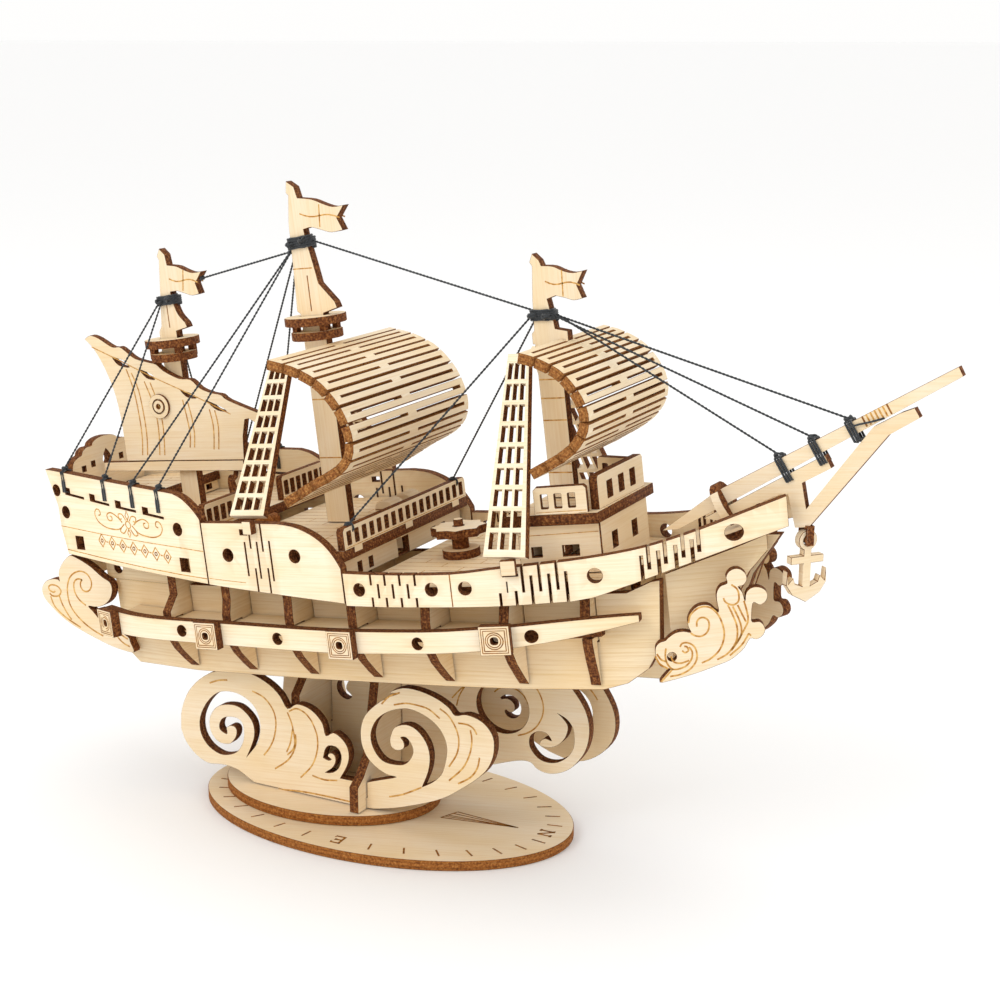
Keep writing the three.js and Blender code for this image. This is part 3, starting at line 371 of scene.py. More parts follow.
def M_flat(h, frame_m=SHIP):
    return frame_m @ Matrix(((1, 0, 0, 0), (0, 1, 0, 0), (0, 0, 1, h), (0, 0, 0, 1)))

# ------------------------------------------------------------------ CAD plates dressed as ply
UPV = (SHIP.to_3x3() @ Vector((0, 0, 1))).normalized()
FWD = (SHIP.to_3x3() @ Vector((1, 0, 0))).normalized()
SIDEV = Vector((0, 1, 0))

def dress(node, mode, bev=0.13, face=FACE, edge=EDGE, thick=T):
    src = NODES[node]
    bm = bmesh.new()
    bm.from_mesh(src.data)
    bmesh.ops.remove_doubles(bm, verts=bm.verts, dist=2e-6)
    bmesh.ops.dissolve_limit(bm, angle_limit=math.radians(1.0), verts=bm.verts, edges=bm.edges)
    bm.normal_update()
    es = [e for e in bm.edges if len(e.link_faces) == 2 and e.calc_face_angle(0) > math.radians(35)]
    bmesh.ops.bevel(bm, geom=es, offset=bev * MM, segments=1, affect='EDGES', profile=0.5, clamp_overlap=True)
    bm.normal_update()
    uvl = bm.loops.layers.uv.new('grain')
    th = bm.verts.layers.float.new('thick')
    rim = bm.verts.layers.float.new('rim')
    up, fw = (Vector((0, 0, 1)), Vector((1, 0, 0))) if mode.startswith('w') else (UPV, FWD)
    kind = mode[1:] if mode.startswith('w') else mode
    axis = {'side': SIDEV, 'cross': fw, 'flat': up}.get(kind)
    ox, oy = rng.uniform(0, 400), rng.uniform(0, 400)
    if axis is not None:
        ds = [v.co.dot(axis) for v in bm.verts]
        lo, hi = min(ds), max(ds)
        for v in bm.verts:
            v[th] = ((v.co.dot(axis) - lo) / max(1e-9, hi - lo)) if hi - lo < 0.0045 else 0.5
    else:
        for v in bm.verts:
            v[th] = 0.5
    for f in bm.faces:
        n = f.normal
        if kind == 'ladder':
            is_edge = abs(n.dot(Vector((0, -0.75, 0.66)))) < 0.6 and abs(n.dot(Vector((0, 0.75, 0.66)))) < 0.6
        elif kind == 'ribbon':
            is_edge = abs(n.dot(up)) > 0.5 or abs(n.dot(fw)) > 0.86
        elif kind == 'house':
            a = f.calc_area() * 1e6
            is_edge = a < 1.2
        else:
            is_edge = abs(n.dot(axis)) < 0.9
        f.material_index = 1 if is_edge else 0
    for v in bm.verts:
        v[rim] = 0.2 if any(f.material_index == 1 for f in v.link_faces) else 0.0
    for f in bm.faces:
        n = f.normal
        if abs(n.dot(up)) > 0.7:
            a, b = fw, SIDEV
        elif abs(n.dot(fw)) > 0.7:
            a, b = SIDEV, up
        else:
            a, b = fw, up
        for l in f.loops:
            l[uvl].uv = (l.vert.co.dot(a) * 1000 + ox, l.vert.co.dot(b) * 1000 + oy)
    return finish('v_' + node, bm, node, [face, edge, ENG, ENG_D])

# ------------------------------------------------------------------ hull shape
B_TAB = [(-109, 21.8), (-75, 30), (-35, 38), (0, 40.5), (30, 41), (52, 38.8), (66, 36), (84, 30), (98, 26.2), (108, 23.2), (120, 18.2), (132, 11.8), (141, 7.2), (148, 3.6)]
WALE_TAB = [(-85, 29.5), (-75, 35), (-60, 38), (-31, 39.4), (8, 40.8), (45, 40.6), (66, 37.4), (84, 31.0), (102, 24.6)]
WALL_TAB = [(-90, 17), (-56, 23.5), (-8, 26), (40, 26), (64, 25), (86, 23), (106.5, 19.4)]

def lerp(tab, s):
    if s <= tab[0][0]:
        return tab[0][1]
    for a, b in zip(tab, tab[1:]):
        if s <= b[0]:
            return a[1] + (b[1] - a[1]) * (s - a[0]) / (b[0] - a[0])
    return tab[-1][1]

def soft(tab, s, d=7.0):
    # rounded reading of a table, so bent planks have no kinks
    return (lerp(tab, s - d) + 2 * lerp(tab, s - d / 2) + 3 * lerp(tab, s) + 2 * lerp(tab, s + d / 2) + lerp(tab, s + d)) / 9

def bend(tab, t=T, off=0.0):
    def fn(u, v, w):
        b = soft(tab, u)
        db = (soft(tab, u + 0.5) - soft(tab, u - 0.5))
        l = math.hypot(db, 1)
        d = w - t / 2 + off
        p = Vector((u + (-db / l) * d, -b + (-1 / l) * d, v))
        return SHIP @ p
    return fn

def both_sides(name, node, **kw):
    plate(name + '_stbd', node + '_stbd', **kw)
    plate(name + '_port', node + '_port', mirror=True, **kw)

def frange(a, b, st):
    out, x = [], a
    while x < b:
        out.append(x); x += st
    return out

def arc(cx, cy, r, a0, a1, n=14, ry=None):
    ry = r if ry is None else ry
    return [(cx + r * math.cos(math.radians(a0 + (a1 - a0) * i / n)), cy + ry * math.sin(math.radians(a0 + (a1 - a0) * i / n))) for i in range(n + 1)]

def sm(p, n=5):
    return smooth(p, n, closed=False)

# ================================================================== base
TURN = math.radians(2.8)
def ell(a, b, cx=0.0, n=120):
    return [(cx + a * math.cos(t) * math.cos(TURN) - b * math.sin(t) * math.sin(TURN), a * math.cos(t) * math.sin(TURN) + b * math.sin(t) * math.cos(TURN)) for t in (2 * math.pi * i / n for i in range(n))]

def ell_pt(a, b, ang):
    x, y = a * math.cos(ang), b * math.sin(ang)
    return (x * math.cos(TURN) - y * math.sin(TURN), x * math.sin(TURN) + y * math.cos(TURN))

def stroke_letter(kind, cx, cy, size, rot):
    L = {
        'N': [[(-.42, -.6), (-.42, .6)], [(-.42, .6), (.42, -.6)], [(.42, -.6), (.42, .6)], [(-.62, .6), (-.3, .6)], [(.22, .6), (.62, .6)], [(-.62, -.6), (-.22, -.6)]],
        'E': [[(-.38, -.6), (-.38, .6)], [(-.5, .6), (.42, .6), (.42, .38)], [(-.5, -.6), (.46, -.6), (.46, -.38)], [(-.38, 0), (.22, 0)], [(.22, .14), (.22, -.14)]],
        'S': [[(.4, .38), (.3, .56), (0, .64), (-.32, .54), (-.4, .3), (-.2, .08), (.2, -.08), (.42, -.3), (.32, -.54), (0, -.64), (-.32, -.56), (-.42, -.36)]],
        'W': [[(-.62, .6), (-.32, -.6), (0, .42), (.32, -.6), (.62, .6)], [(-.78, .6), (-.44, .6)], [(.44, .6), (.78, .6)]],
    }[kind]
    out = []
    c, s = math.cos(rot), math.sin(rot)
    for st in L:
        pts = [(cx + size * (x * c - y * s), cy + size * (x * s + y * c)) for x, y in st]
        if kind == 'S':
            pts = sm(pts, 3)
        out.append((pts, 0.75, 3, 1))
    return out

base_eng = []
LET = {0: 'N', 90: 'W', 180: 'S', 270: 'E'}
for k in range(32):
    deg = 360 * k / 32
    ang = math.radians(deg)
    if deg in LET:
        continue
    a, b = ell_pt(60.3, 34.3, ang), ell_pt(55.4, 30.2, ang)
    base_eng.append(([a, b], 0.62, 3, 1))
for deg, ch in LET.items():
    x, y = ell_pt(56.4, 31.4, math.radians(deg))
    base_eng += stroke_letter(ch, x, y, 3.6, TURN + math.radians(deg - 90 if deg in (0, 180) else deg - 90))
# compass needle drawn on the plate, pointing at the N
nd = [ell_pt(x, y, 0) for x, y in ((0, 0),)]
def P(x, y):
    return (x * math.cos(TURN) - y * math.sin(TURN), x * math.sin(TURN) + y * math.cos(TURN))
base_eng += [([P(21.5, -3.4), P(47.0, 0.0)], 0.5, 3, 1), ([P(24.5, 2.6), P(47.0, 0.0)], 0.5, 3, 1), ([P(21.5, -3.4), P(24.5, 2.6)], 0.5, 3, 1), ([P(23.0, -0.9), P(47.0, 0.0)], 0.45, 3, 1), ([P(24.0, 1.0), P(47.0, 0.0)], 0.45, 3, 1), ([P(22.2, -2.0), P(47.0, 0.0)], 0.4, 3, 1)]
plate('base', 'base_plate', ell(64.0, 38.0), t=3.2, mtx=M_flat(1.6, ID), engr=base_eng, edge=EDGE_G, grain=0.35, bev=0.2)
plate('disc', 'base_disc', ell(37.4, 26.5, -20.4), t=3.3, mtx=M_flat(3.5 + 1.65, ID), edge=EDGE_G, grain=0.35, bev=0.2)

# ================================================================== wave stand
DISC_TOP = 7.1
WF_OUT = [(-70.43, 25.90), (-69.31, 29.73), (-66.63, 34.85), (-62.21, 39.45), (-56.70, 42.94), (-50.16, 45.05), (-45.50, 45.33), (-39.77, 44.55), (-34.15, 42.26), (-30.29, 39.18), (-27.60, 35.41), (-24.15, 37.53), (-20.24, 37.23), (-16.95, 35.59), (-14.27, 32.60), (-13.16, 28.83), (-10.47, 30.33), (-7.74, 29.35), (-5.34, 26.83), (-4.61, 23.49), (-5.52, 19.83), (-8.11, 15.31), (-3.99, 15.13), (1.22, 15.78), (7.22, 17.88), (12.61, 19.85), (9.41, 20.05), (5.14, 21.93), (1.96, 24.77), (0.15, 28.87), (-0.01, 33.76), (1.72, 38.48), (5.56, 42.59), (9.88, 45.77), (14.14, 47.87)]
WF_OUT2 = [(10.66, 47.57), (15.64, 49.94), (21.63, 49.98), (27.54, 48.54), (31.80, 46.32), (33.91, 44.23), (37.63, 45.15), (41.84, 44.44), (44.98, 42.56), (47.06, 39.50), (47.32, 35.60), (46.53, 31.98), (44.42, 28.08), (40.71, 24.33), (36.43, 20.95), (31.02, 17.06), (25.01, 14.03), (17.81, 11.24), (11.65, 9.18), (4.29, 7.38), (-4.89, 5.56)]
WF_OUT3 = [(-6.13, 6.64), (-14.48, 6.43), (-22.93, 6.47), (-32.07, 6.50), (-40.17, 6.82), (-43.61, 8.19), (-47.63, 10.24), (-51.73, 10.99), (-55.89, 10.85), (-60.10, 10.39), (-64.81, 12.35), (-68.83, 16.29), (-70.72, 20.64)]
WF_E_a = [(-58.08, 38.89), (-54.47, 40.42), (-50.92, 41.13)]
WF_E_b = [(-41.15, 39.04), (-36.62, 37.57), (-33.32, 34.13), (-32.23, 29.80), (-33.12, 24.58), (-34.99, 20.67), (-37.41, 17.55)]
WF_E_c = [(-27.65, 34.15), (-26.08, 30.43), (-25.14, 25.07), (-25.81, 21.92), (-28.17, 19.44)]
WF_E_d = [(-25.86, 28.71), (-26.88, 23.73), (-28.42, 20.40)]
WF_E_e = [(-24.78, 27.15), (-24.92, 23.10), (-27.65, 18.01), (-33.24, 13.60)]
WF_E_f = [(-27.07, 34.51), (-24.20, 36.02), (-20.87, 35.13), (-18.43, 32.83)]
WF_E_g = [(-18.43, 32.83), (-16.61, 28.68), (-16.48, 23.70), (-18.62, 17.75), (-23.30, 12.52)]
WF_E_h = [(-18.73, 14.19), (-14.27, 13.57), (-9.25, 14.32)]
WF_E_i = [(-32.07, 6.66), (-22.89, 7.76), (-12.75, 8.06), (-4.44, 8.00)]
WF_E_j = [(-30.32, 7.27), (-22.90, 7.50), (-13.91, 6.80), (-5.02, 6.87)]
WF_E_k = [(7.81, 43.28), (10.64, 46.31), (14.52, 48.24)]
WF_E_l = [(12.25, 43.82), (16.66, 45.11), (21.02, 45.14), (24.81, 44.57), (28.55, 42.26)]
WF_E_m = [(28.58, 45.50), (31.78, 43.59), (34.41, 39.61), (35.19, 35.77), (34.36, 31.61), (31.64, 27.06)]
WF_E_n = [(34.96, 41.94), (38.14, 42.03), (40.25, 41.19), (41.40, 39.42)]
WF_E_o = [(39.19, 40.49), (39.71, 37.12), (38.89, 32.48), (36.47, 27.51), (31.61, 22.50)]
WF_E_p = [(42.33, 32.15), (41.52, 28.50), (39.12, 25.02), (34.83, 22.14)]
WF_E_q = [(21.77, 18.23), (15.09, 14.55), (10.04, 12.74)]
WF_E_r = [(6.75, 17.25), (10.14, 18.45), (12.95, 19.78)]
WB_OUT = [(13.86, 46.77), (27.77, 50.15), (44.01, 52.90), (58.26, 54.31), (61.40, 51.86), (64.55, 48.43), (67.19, 44.42), (68.54, 40.17), (68.60, 35.68), (67.37, 30.91), (64.81, 26.87), (61.70, 23.72), (57.50, 21.61), (53.78, 21.12), (50.56, 22.03), (48.41, 23.67), (44.09, 23.34), (35.37, 20.34)]
WB_C = [(38.38, 49.16), (43.49, 48.77), (47.24, 46.39), (49.12, 42.68), (48.61, 38.54), (46.21, 35.04), (42.99, 32.91), (38.66, 31.84), (34.29, 32.32), (30.45, 34.71), (28.26, 37.92), (28.83, 42.14), (32.13, 46.05)]
WB_V = [(58.11, 41.53), (61.00, 40.29), (63.12, 37.67), (63.68, 34.25), (63.30, 31.14), (61.39, 27.99), (57.99, 25.54), (54.28, 24.82), (51.08, 25.73), (48.65, 28.34), (48.11, 30.80), (48.90, 32.99), (51.56, 34.61), (54.21, 34.24), (55.82, 32.25), (53.70, 32.62), (52.11, 31.55), (51.85, 29.97), (54.78, 29.77), (57.94, 31.13), (60.54, 34.16), (61.45, 37.86), (59.96, 40.10)]
WB_E_a = [(20.51, 40.16), (24.43, 44.46), (29.95, 48.48), (36.49, 51.12)]
WB_E_b = [(42.41, 52.12), (47.22, 50.93), (50.95, 48.05), (52.82, 43.85), (52.59, 39.77), (50.49, 35.83), (47.29, 33.20), (44.07, 31.83)]
WB_E_c = [(22.17, 37.87), (23.30, 41.69), (26.10, 46.29)]
WB2_OUT = [(-24.79, 36.90), (-23.28, 39.72), (-19.81, 41.85), (-15.26, 42.62), (-10.77, 41.86), (-6.91, 39.48), (-5.88, 35.10), (-9.33, 30.41), (-12.20, 27.85), (-14.55, 24.33), (-25.55, 20.22), (-27.22, 22.51), (-20.82, 24.73), (-16.17, 28.15), (-14.11, 31.09), (-14.92, 32.74), (-17.77, 32.49), (-19.52, 30.64), (-22.38, 30.90), (-24.32, 33.39)]
WB2_V = [(-17.71, 34.80), (-19.38, 36.30), (-18.76, 38.46), (-17.87, 39.88), (-20.42, 39.96), (-22.46, 38.33), (-22.82, 35.70), (-21.45, 33.64), (-18.90, 32.80), (-17.16, 33.88), (-19.11, 35.58)]
BW_OUT = [(6.15, 5.17), (9.29, 5.37), (12.46, 5.97), (17.62, 7.12), (22.80, 8.67), (25.99, 9.71), (28.45, 11.31), (30.32, 12.95), (32.07, 15.41), (33.78, 15.05), (35.46, 15.82), (36.39, 17.42), (36.02, 19.06), (34.95, 20.05), (33.03, 20.15), (33.00, 22.16), (33.38, 24.53), (33.93, 25.59), (35.51, 24.72), (37.11, 25.57), (37.81, 27.10), (37.37, 28.74), (35.72, 29.81), (33.81, 29.88), (32.40, 29.01), (31.81, 27.87), (31.52, 26.30), (31.03, 28.75), (30.02, 30.44), (31.38, 30.71), (32.45, 32.00), (32.40, 33.79), (30.99, 35.32), (29.29, 35.60), (27.69, 34.84), (26.88, 33.33), (27.05, 31.72), (25.27, 31.09), (24.10, 29.61), (23.80, 27.44), (24.11, 24.20), (23.52, 24.06), (21.93, 25.81), (20.04, 26.27), (18.07, 25.78), (16.40, 24.33), (15.36, 22.22), (15.46, 20.20), (15.99, 18.74), (14.01, 19.20), (11.66, 18.94), (9.62, 17.72), (8.77, 16.99), (7.18, 16.61), (5.99, 15.43), (5.65, 13.44), (5.85, 11.39), (6.94, 9.66), (9.01, 8.86), (9.38, 8.62)]
BW_E_a = [(17.78, 20.18), (17.90, 21.58), (18.75, 22.50), (19.92, 22.59), (21.00, 21.69), (21.17, 20.06), (20.44, 18.32), (18.89, 17.37), (17.17, 17.62), (15.89, 18.54)]
BW_E_b = [(15.56, 21.40), (16.35, 23.73), (18.82, 25.51), (21.52, 25.45), (23.66, 23.44), (24.77, 20.53), (25.11, 17.68), (24.49, 14.91), (23.13, 12.61), (20.64, 10.62), (18.23, 9.71)]
BW_E_c = [(25.75, 27.65), (26.05, 26.62), (27.13, 25.72), (28.46, 25.47), (29.68, 26.28), (30.01, 28.04), (29.59, 29.88), (28.16, 31.21)]
BW_E_d = [(23.87, 28.23), (24.37, 24.98), (25.79, 21.23), (25.27, 19.67)]
BW_E_e = [(26.73, 25.56), (27.84, 22.65), (28.72, 19.35), (28.54, 16.15), (27.49, 13.82), (25.37, 11.59), (22.55, 10.24)]
BW_E_f = [(28.03, 25.03), (29.30, 21.71), (29.91, 18.83), (29.42, 16.06), (26.61, 12.49)]
BW_E_g = [(29.40, 25.30), (30.51, 22.39), (31.31, 20.31)]
BW_E_h = [(31.22, 26.33), (31.76, 23.48), (31.91, 20.66), (30.76, 18.35), (28.33, 14.55)]
BW_E_i = [(32.32, 16.19), (31.80, 16.85), (31.14, 15.90), (29.41, 13.64), (26.11, 11.12)]
BW_E_j = [(25.12, 17.88), (25.69, 20.04)]
BW_E_k = [(12.66, 14.81), (13.32, 15.76), (14.88, 15.81), (16.52, 14.65), (17.12, 12.57), (16.73, 10.37), (15.00, 8.30), (12.15, 6.94), (9.20, 6.60)]
BW_E_l = [(13.15, 13.75), (13.86, 13.07), (14.88, 13.59), (14.58, 14.63), (13.83, 14.90)]
BW_E_m = [(15.16, 14.57), (15.88, 13.09), (15.42, 10.90), (13.51, 9.05), (10.35, 8.53), (8.75, 10.30), (8.39, 12.77), (8.77, 14.77)]
BW_E_n = [(9.92, 12.43), (10.55, 10.75), (12.44, 10.16), (14.82, 10.75)]
BW_E_o = [(6.11, 13.39), (7.13, 11.67), (8.62, 10.93)]
BW_E_p = [(10.17, 8.75), (8.25, 6.89), (6.55, 5.29)]
BW_E_q = [(5.67, 12.82), (6.63, 10.50), (8.82, 8.87)]
SC_OUT = [(-103.69, 38.51), (-106.49, 36.73), (-108.78, 34.25), (-109.88, 32.12), (-109.93, 29.66), (-110.50, 30.17), (-112.94, 30.30), (-115.79, 29.54), (-117.75, 27.73), (-118.35, 25.94), (-117.73, 23.47), (-115.36, 20.68), (-111.95, 17.58), (-108.02, 14.86), (-102.77, 12.19), (-97.49, 9.90), (-92.61, 7.97), (-87.66, 6.57), (-82.62, 5.90), (-83.46, 9.36), (-84.18, 11.25), (-89.70, 14.04), (-94.47, 16.34), (-97.37, 19.41), (-99.00, 21.19), (-96.18, 21.02), (-93.04, 21.46), (-90.11, 23.10), (-88.40, 25.23), (-87.72, 27.67), (-88.40, 29.74), (-90.73, 31.08), (-93.00, 32.77), (-95.25, 34.64), (-98.38, 36.50), (-101.59, 38.02)]
SC_OUT2 = [(-88.50, 6.72), (-86.69, 4.86), (-82.76, 3.96)]
SC_E_a = [(-100.04, 30.38), (-101.01, 28.78), (-100.70, 27.04), (-99.11, 26.20), (-97.21, 26.94), (-96.17, 28.88), (-96.44, 30.79), (-97.86, 32.51), (-100.36, 33.16), (-103.16, 32.41), (-105.25, 30.80), (-106.64, 28.32), (-107.21, 25.49), (-107.03, 21.97), (-105.44, 18.83), (-102.51, 15.74), (-98.63, 13.04), (-94.63, 11.06)]
SC_E_b = [(-99.89, 30.03), (-101.33, 30.53), (-102.98, 29.97), (-103.97, 28.37), (-103.87, 25.57), (-102.36, 23.14), (-100.05, 21.44)]
SC_E_c = [(-112.46, 26.07), (-113.43, 25.70), (-114.87, 26.37), (-115.10, 27.43), (-114.05, 28.16), (-112.47, 28.19), (-110.82, 27.52), (-109.98, 26.13), (-110.95, 24.69), (-112.37, 24.31), (-114.14, 24.44), (-115.09, 25.30)]
SC_E_d = [(-114.86, 24.25), (-113.93, 21.08), (-111.35, 18.31), (-107.80, 15.93), (-103.79, 13.75)]
SC_E_e = [(-111.02, 24.34), (-110.25, 21.53), (-108.65, 18.38), (-107.28, 16.30)]
SC_E_f = [(-89.61, 13.34), (-88.19, 10.59), (-86.35, 8.90), (-83.98, 7.77)]
SC_E_g = [(-88.89, 13.71), (-86.68, 11.69), (-84.35, 10.38)]
WF_V1 = [(-44.16, 15.83), (-39.87, 21.27), (-38.57, 26.10), (-38.91, 30.60), (-41.34, 34.46), (-45.87, 36.85), (-50.52, 37.25), (-54.68, 36.17), (-58.36, 33.22), (-61.25, 29.11), (-62.79, 24.70), (-62.30, 20.13), (-59.49, 16.50), (-55.12, 14.64), (-51.54, 15.02), (-48.23, 16.59), (-46.36, 19.01), (-45.25, 21.78), (-45.06, 24.89), (-45.71, 27.32), (-47.70, 28.49), (-50.92, 28.41), (-53.63, 27.15), (-54.80, 24.88), (-54.41, 23.15), (-52.10, 22.19), (-51.86, 23.37), (-51.99, 24.37), (-50.47, 25.42), (-48.72, 25.34), (-47.89, 24.11), (-48.28, 21.98), (-49.85, 19.78), (-51.37, 18.83), (-54.63, 18.57), (-57.23, 20.04), (-58.76, 22.86), (-58.70, 26.48), (-56.75, 29.92), (-53.70, 32.00), (-49.55, 32.85), (-46.07, 32.35), (-42.69, 29.91), (-41.07, 27.16), (-40.93, 23.62), (-42.25, 19.79)]
WF_V2 = [(-14.33, 21.11), (-13.70, 23.74), (-12.26, 25.61), (-9.49, 25.79), (-7.88, 24.36), (-7.50, 21.94), (-8.58, 18.72), (-10.84, 16.77), (-13.64, 16.22), (-11.36, 17.92), (-9.92, 19.96), (-9.70, 22.01), (-10.66, 23.22), (-12.05, 23.05), (-12.64, 21.94), (-11.27, 21.20), (-12.40, 20.58)]
WF_V4 = [(1.48, 15.53), (7.21, 17.38), (12.88, 20.00), (10.45, 18.43), (7.20, 16.79)]
WF_V3 = [(22.05, 18.44), (25.90, 20.85), (28.92, 23.99), (30.30, 27.80), (30.99, 32.46), (30.11, 36.31), (27.45, 39.81), (23.16, 42.27), (18.28, 43.40), (14.44, 42.86), (9.99, 41.05), (6.04, 37.89), (3.82, 33.51), (3.91, 29.58), (5.80, 26.09), (8.84, 24.11), (14.13, 24.22), (16.92, 25.69), (18.78, 28.60), (18.81, 30.89), (17.58, 32.93), (16.22, 33.84), (14.56, 33.48), (15.37, 32.52), (15.79, 31.07), (15.22, 29.69), (13.10, 28.93), (11.17, 29.68), (10.66, 31.88), (11.25, 34.28), (12.68, 36.58), (16.56, 38.05), (20.37, 36.99), (23.60, 33.57), (24.91, 29.28), (24.30, 24.09)]


def clampz(p, z0=DISC_TOP):
    return [(a, max(b, z0) if -54 < a < 13.5 else b) for a, b in p]

def eng(paths, w=0.5, mat=2, up=1):
    return [(sm(p, 4), w, mat, up) for p in paths]

wf = smooth(WF_OUT[:22], 3, closed=False) + [(-1.9, 15.4), (-1.9, 10.8), (1.9, 10.8), (1.9, 15.9)] + smooth([(2.2, 16.1)] + WF_OUT[24:] + WF_OUT2, 3, closed=False) + smooth(WF_OUT3, 3, closed=False)
wf = clampz(wf)
wf_e = eng([WF_E_a, WF_E_b, WF_E_c, WF_E_d, WF_E_e, WF_E_f, WF_E_g, WF_E_h, WF_E_i, WF_E_k, WF_E_l, WF_E_m, WF_E_n, WF_E_o, WF_E_p, WF_E_q], 0.55)
plate('wave_front_v', 'wave_front', wf, holes=[sm(WF_V1 + WF_V1[:1], 3)[:-1], sm(WF_V3 + WF_V3[:1], 3)[:-1], sm(WF_V2 + WF_V2[:1], 2)[:-1]], mtx=M_side(-13.0, ID), grain=0.1, engr=wf_e, bev=0.1)
WB_L = [(-30, DISC_TOP), (-34, 14), (-40, 20), (-45, 28), (-44, 37), (-38, 41.5), (-30, 41), (-28.9, 41.2), (-28.9, 24.2), (-25.1, 24.2), (-25.1, 42.0), (-20, 42.9), (-8, 44.5), (-1.9, 45.4), (-1.9, 24.2), (1.9, 24.2), (1.9, 46.2), (7, 46.9)]
wb = WB_L + smooth(WB_OUT, 4, closed=False) + smooth([(34, 20.6), (28, 20.0), (20, 15), (12, DISC_TOP)], 3, closed=False)
wb_e = eng([WB_E_a, WB_E_b, WB_E_c, arc(-14, 35, 6.5, 100, -30), arc(-12, 35, 7.5, 90, -30), arc(-10, 35, 8.5, 80, -30)], 0.5)
plate('wave_back_v', 'wave_back', wb, holes=[circle(38.7, 40.4, 9.3, 36, 8.8), sm(WB_V + WB_V[:1], 3)[:-1], sm([(-17.7, 34.8), (-19.4, 36.3), (-18.8, 38.5), (-17.9, 39.9), (-20.4, 40.0), (-22.5, 38.3), (-22.8, 35.7), (-21.4, 33.6), (-18.9, 32.8), (-17.2, 33.9), (-17.7, 34.8)], 3)[:-1]], mtx=M_side(9.0, ID), grain=0.1, engr=wb_e, bev=0.1)
WAVE_REAR = [(-10, 20), (-12, 30), (-8, 40), (-1.9, 44.4), (-1.9, 28.2), (1.9, 28.2), (1.9, 46), (14, 48), (32, 50), (50, 52.8), (62, 54.5), (68, 49), (72.5, 41), (72.5, 33), (68, 26.5), (60, 22.5), (50, 24), (40, 28), (26, 27), (12, 20), (2, 12.5)]
wr = WAVE_REAR[:7] + smooth(WAVE_REAR[7:], 4, closed=False)
plate('wave_rear_v', 'wave_rear', wr, holes=[band(spiral(57, 38, 9.0, 6.0, 3.4, -0.7, 30), 3.4), band(spiral(56.5, 37.6, 4.4, 1.4, 2.0, -0.8, 20), 2.0), band(spiral(36, 36, 4.2, 1.6, 2.4, -0.8, 24), 2.2)], mtx=M_side(19.0, ID), grain=0.1, engr=eng([arc(56, 38, 12.4, 120, 30), arc(36, 36, 7.2, 140, 20), arc(20, 42, 16, 200, 140)], 0.5, up=0), bev=0.1)
for nm in ('wave_cross_fore', 'wave_cross_aft'):
    dress(nm, 'wcross')

# ================================================================== outlines with laser kerfs cut in from an edge
def at(line, s):
    for a, b in zip(line, line[1:]):
        if a[0] <= s <= b[0]:
            return a[1] + (b[1] - a[1]) * (s - a[0]) / (b[0] - a[0])
    return line[-1][1] if s > line[-1][0] else line[0][1]

def notched(line, cuts):
    """line runs left to right; cuts are (s, half width, h reached)"""
    out = []
    cs = sorted(cuts)
    for a, b in zip(line, line[1:]):
        out.append(a)
        for s, w, h in cs:
            if a[0] < s - w and s + w < b[0]:
                out += [(s - w, at(line, s - w)), (s - w, h), (s + w, h), (s + w, at(line, s + w))]
    out.append(line[-1])
    return out

def slot(s, w, h0, h1):
    return [(s - w, h0), (s + w, h0), (s + w, h1), (s - w, h1)]

def pill(s, h, r):
    return rrect(s - r, s + r, h - r, h + r, r * 0.72, 4)

def diamond(s, h, a, b):
    return [(s - a, h), (s, h + b), (s + a, h), (s, h - b), (s - a, h)]

# ---- castle side
ctop = [(-108.2, 67.7), (-46, 62.3)] + sm([(-46, 62.3), (-42.4, 61.0), (-39.2, 58.8), (-36.9, 56.6), (-35.3, 54.6)], 3)[1:]
cbot = [(-102.8, 39.4), (-85, 37.9), (-68, 36.5), (-50, 35.3), (-35.3, 34.3)]
castle = ctop + [(-35.3, 50), (-35.3, 40)] + cbot[::-1] + [(-104.5, 48.4), (-104.5, 55.5)]
c_h = [circle(-104.0, 60.8, 1.95, 20), circle(-100.7, 53.6, 2.05, 20), circle(-45.7, 51.0, 2.05, 20), rect(-97.6, -93.4, 41.4, 45.8), rect(-46.7, -42.5, 37.6, 41.9)]
for s0 in (-99.4, -86.6, -73.8, -61.0):
    h = 62.0 - (s0 + 99.4) * 0.118
    k = -0.118
    c_h.append([(s0, h), (s0 + 2.6, h + 2.6 * k), (s0 + 2.6, h + 2.6 * k - 1.75), (s0 + 9.6, h + 9.6 * k - 1.75), (s0 + 9.6, h + 9.6 * k - 2.4), (s0, h - 2.4)])
def flourish(cx, cy, k=1.0, tilt=-0.09):
    P_ = []
    def add(p):
        P_.append([(cx + x * k, cy + (y + tilt * x) * k) for x, y in p])
    for sg in (-1, 1):
        add([(sg * x, y) for x, y in sm([(2, 0), (5, -2.2), (9, -2.8), (13, -2.6), (16.5, -1.2), (18, 1.2), (17, 3.2), (15.2, 3.2), (14.8, 1.7), (16, 1.2)], 4)])
        add([(sg * x, y) for x, y in sm([(3, 0.4), (5.5, 2.2), (8.6, 3.2), (11, 2.2), (10.6, 0.4), (8.8, 0.3), (8.4, 1.6), (9.4, 1.9)], 4)])
        add([(sg * x, y) for x, y in sm([(1, 1.5), (2.5, 3.4), (4.6, 3.2), (4.2, 1.6), (3.0, 1.8)], 4)])
        add([(sg * x, y) for x, y in sm([(1, -1.5), (2.8, -3.4), (4.6, -3.0), (4.0, -1.7)], 4)])
    add(circle(0, 0, 1.3, 12) + [(1.3, 0)])
    add([(0, 1.6), (0.9, 3.2), (0, 5.0), (-0.9, 3.2), (0, 1.6)])
    add([(0, -1.6), (0.8, -3.0), (0, -4.6), (-0.8, -3.0), (0, -1.6)])
    return P_
c_e = [(p, 0.42, 2, 1) for p in flourish(-69.0, 51.2, 0.9)]
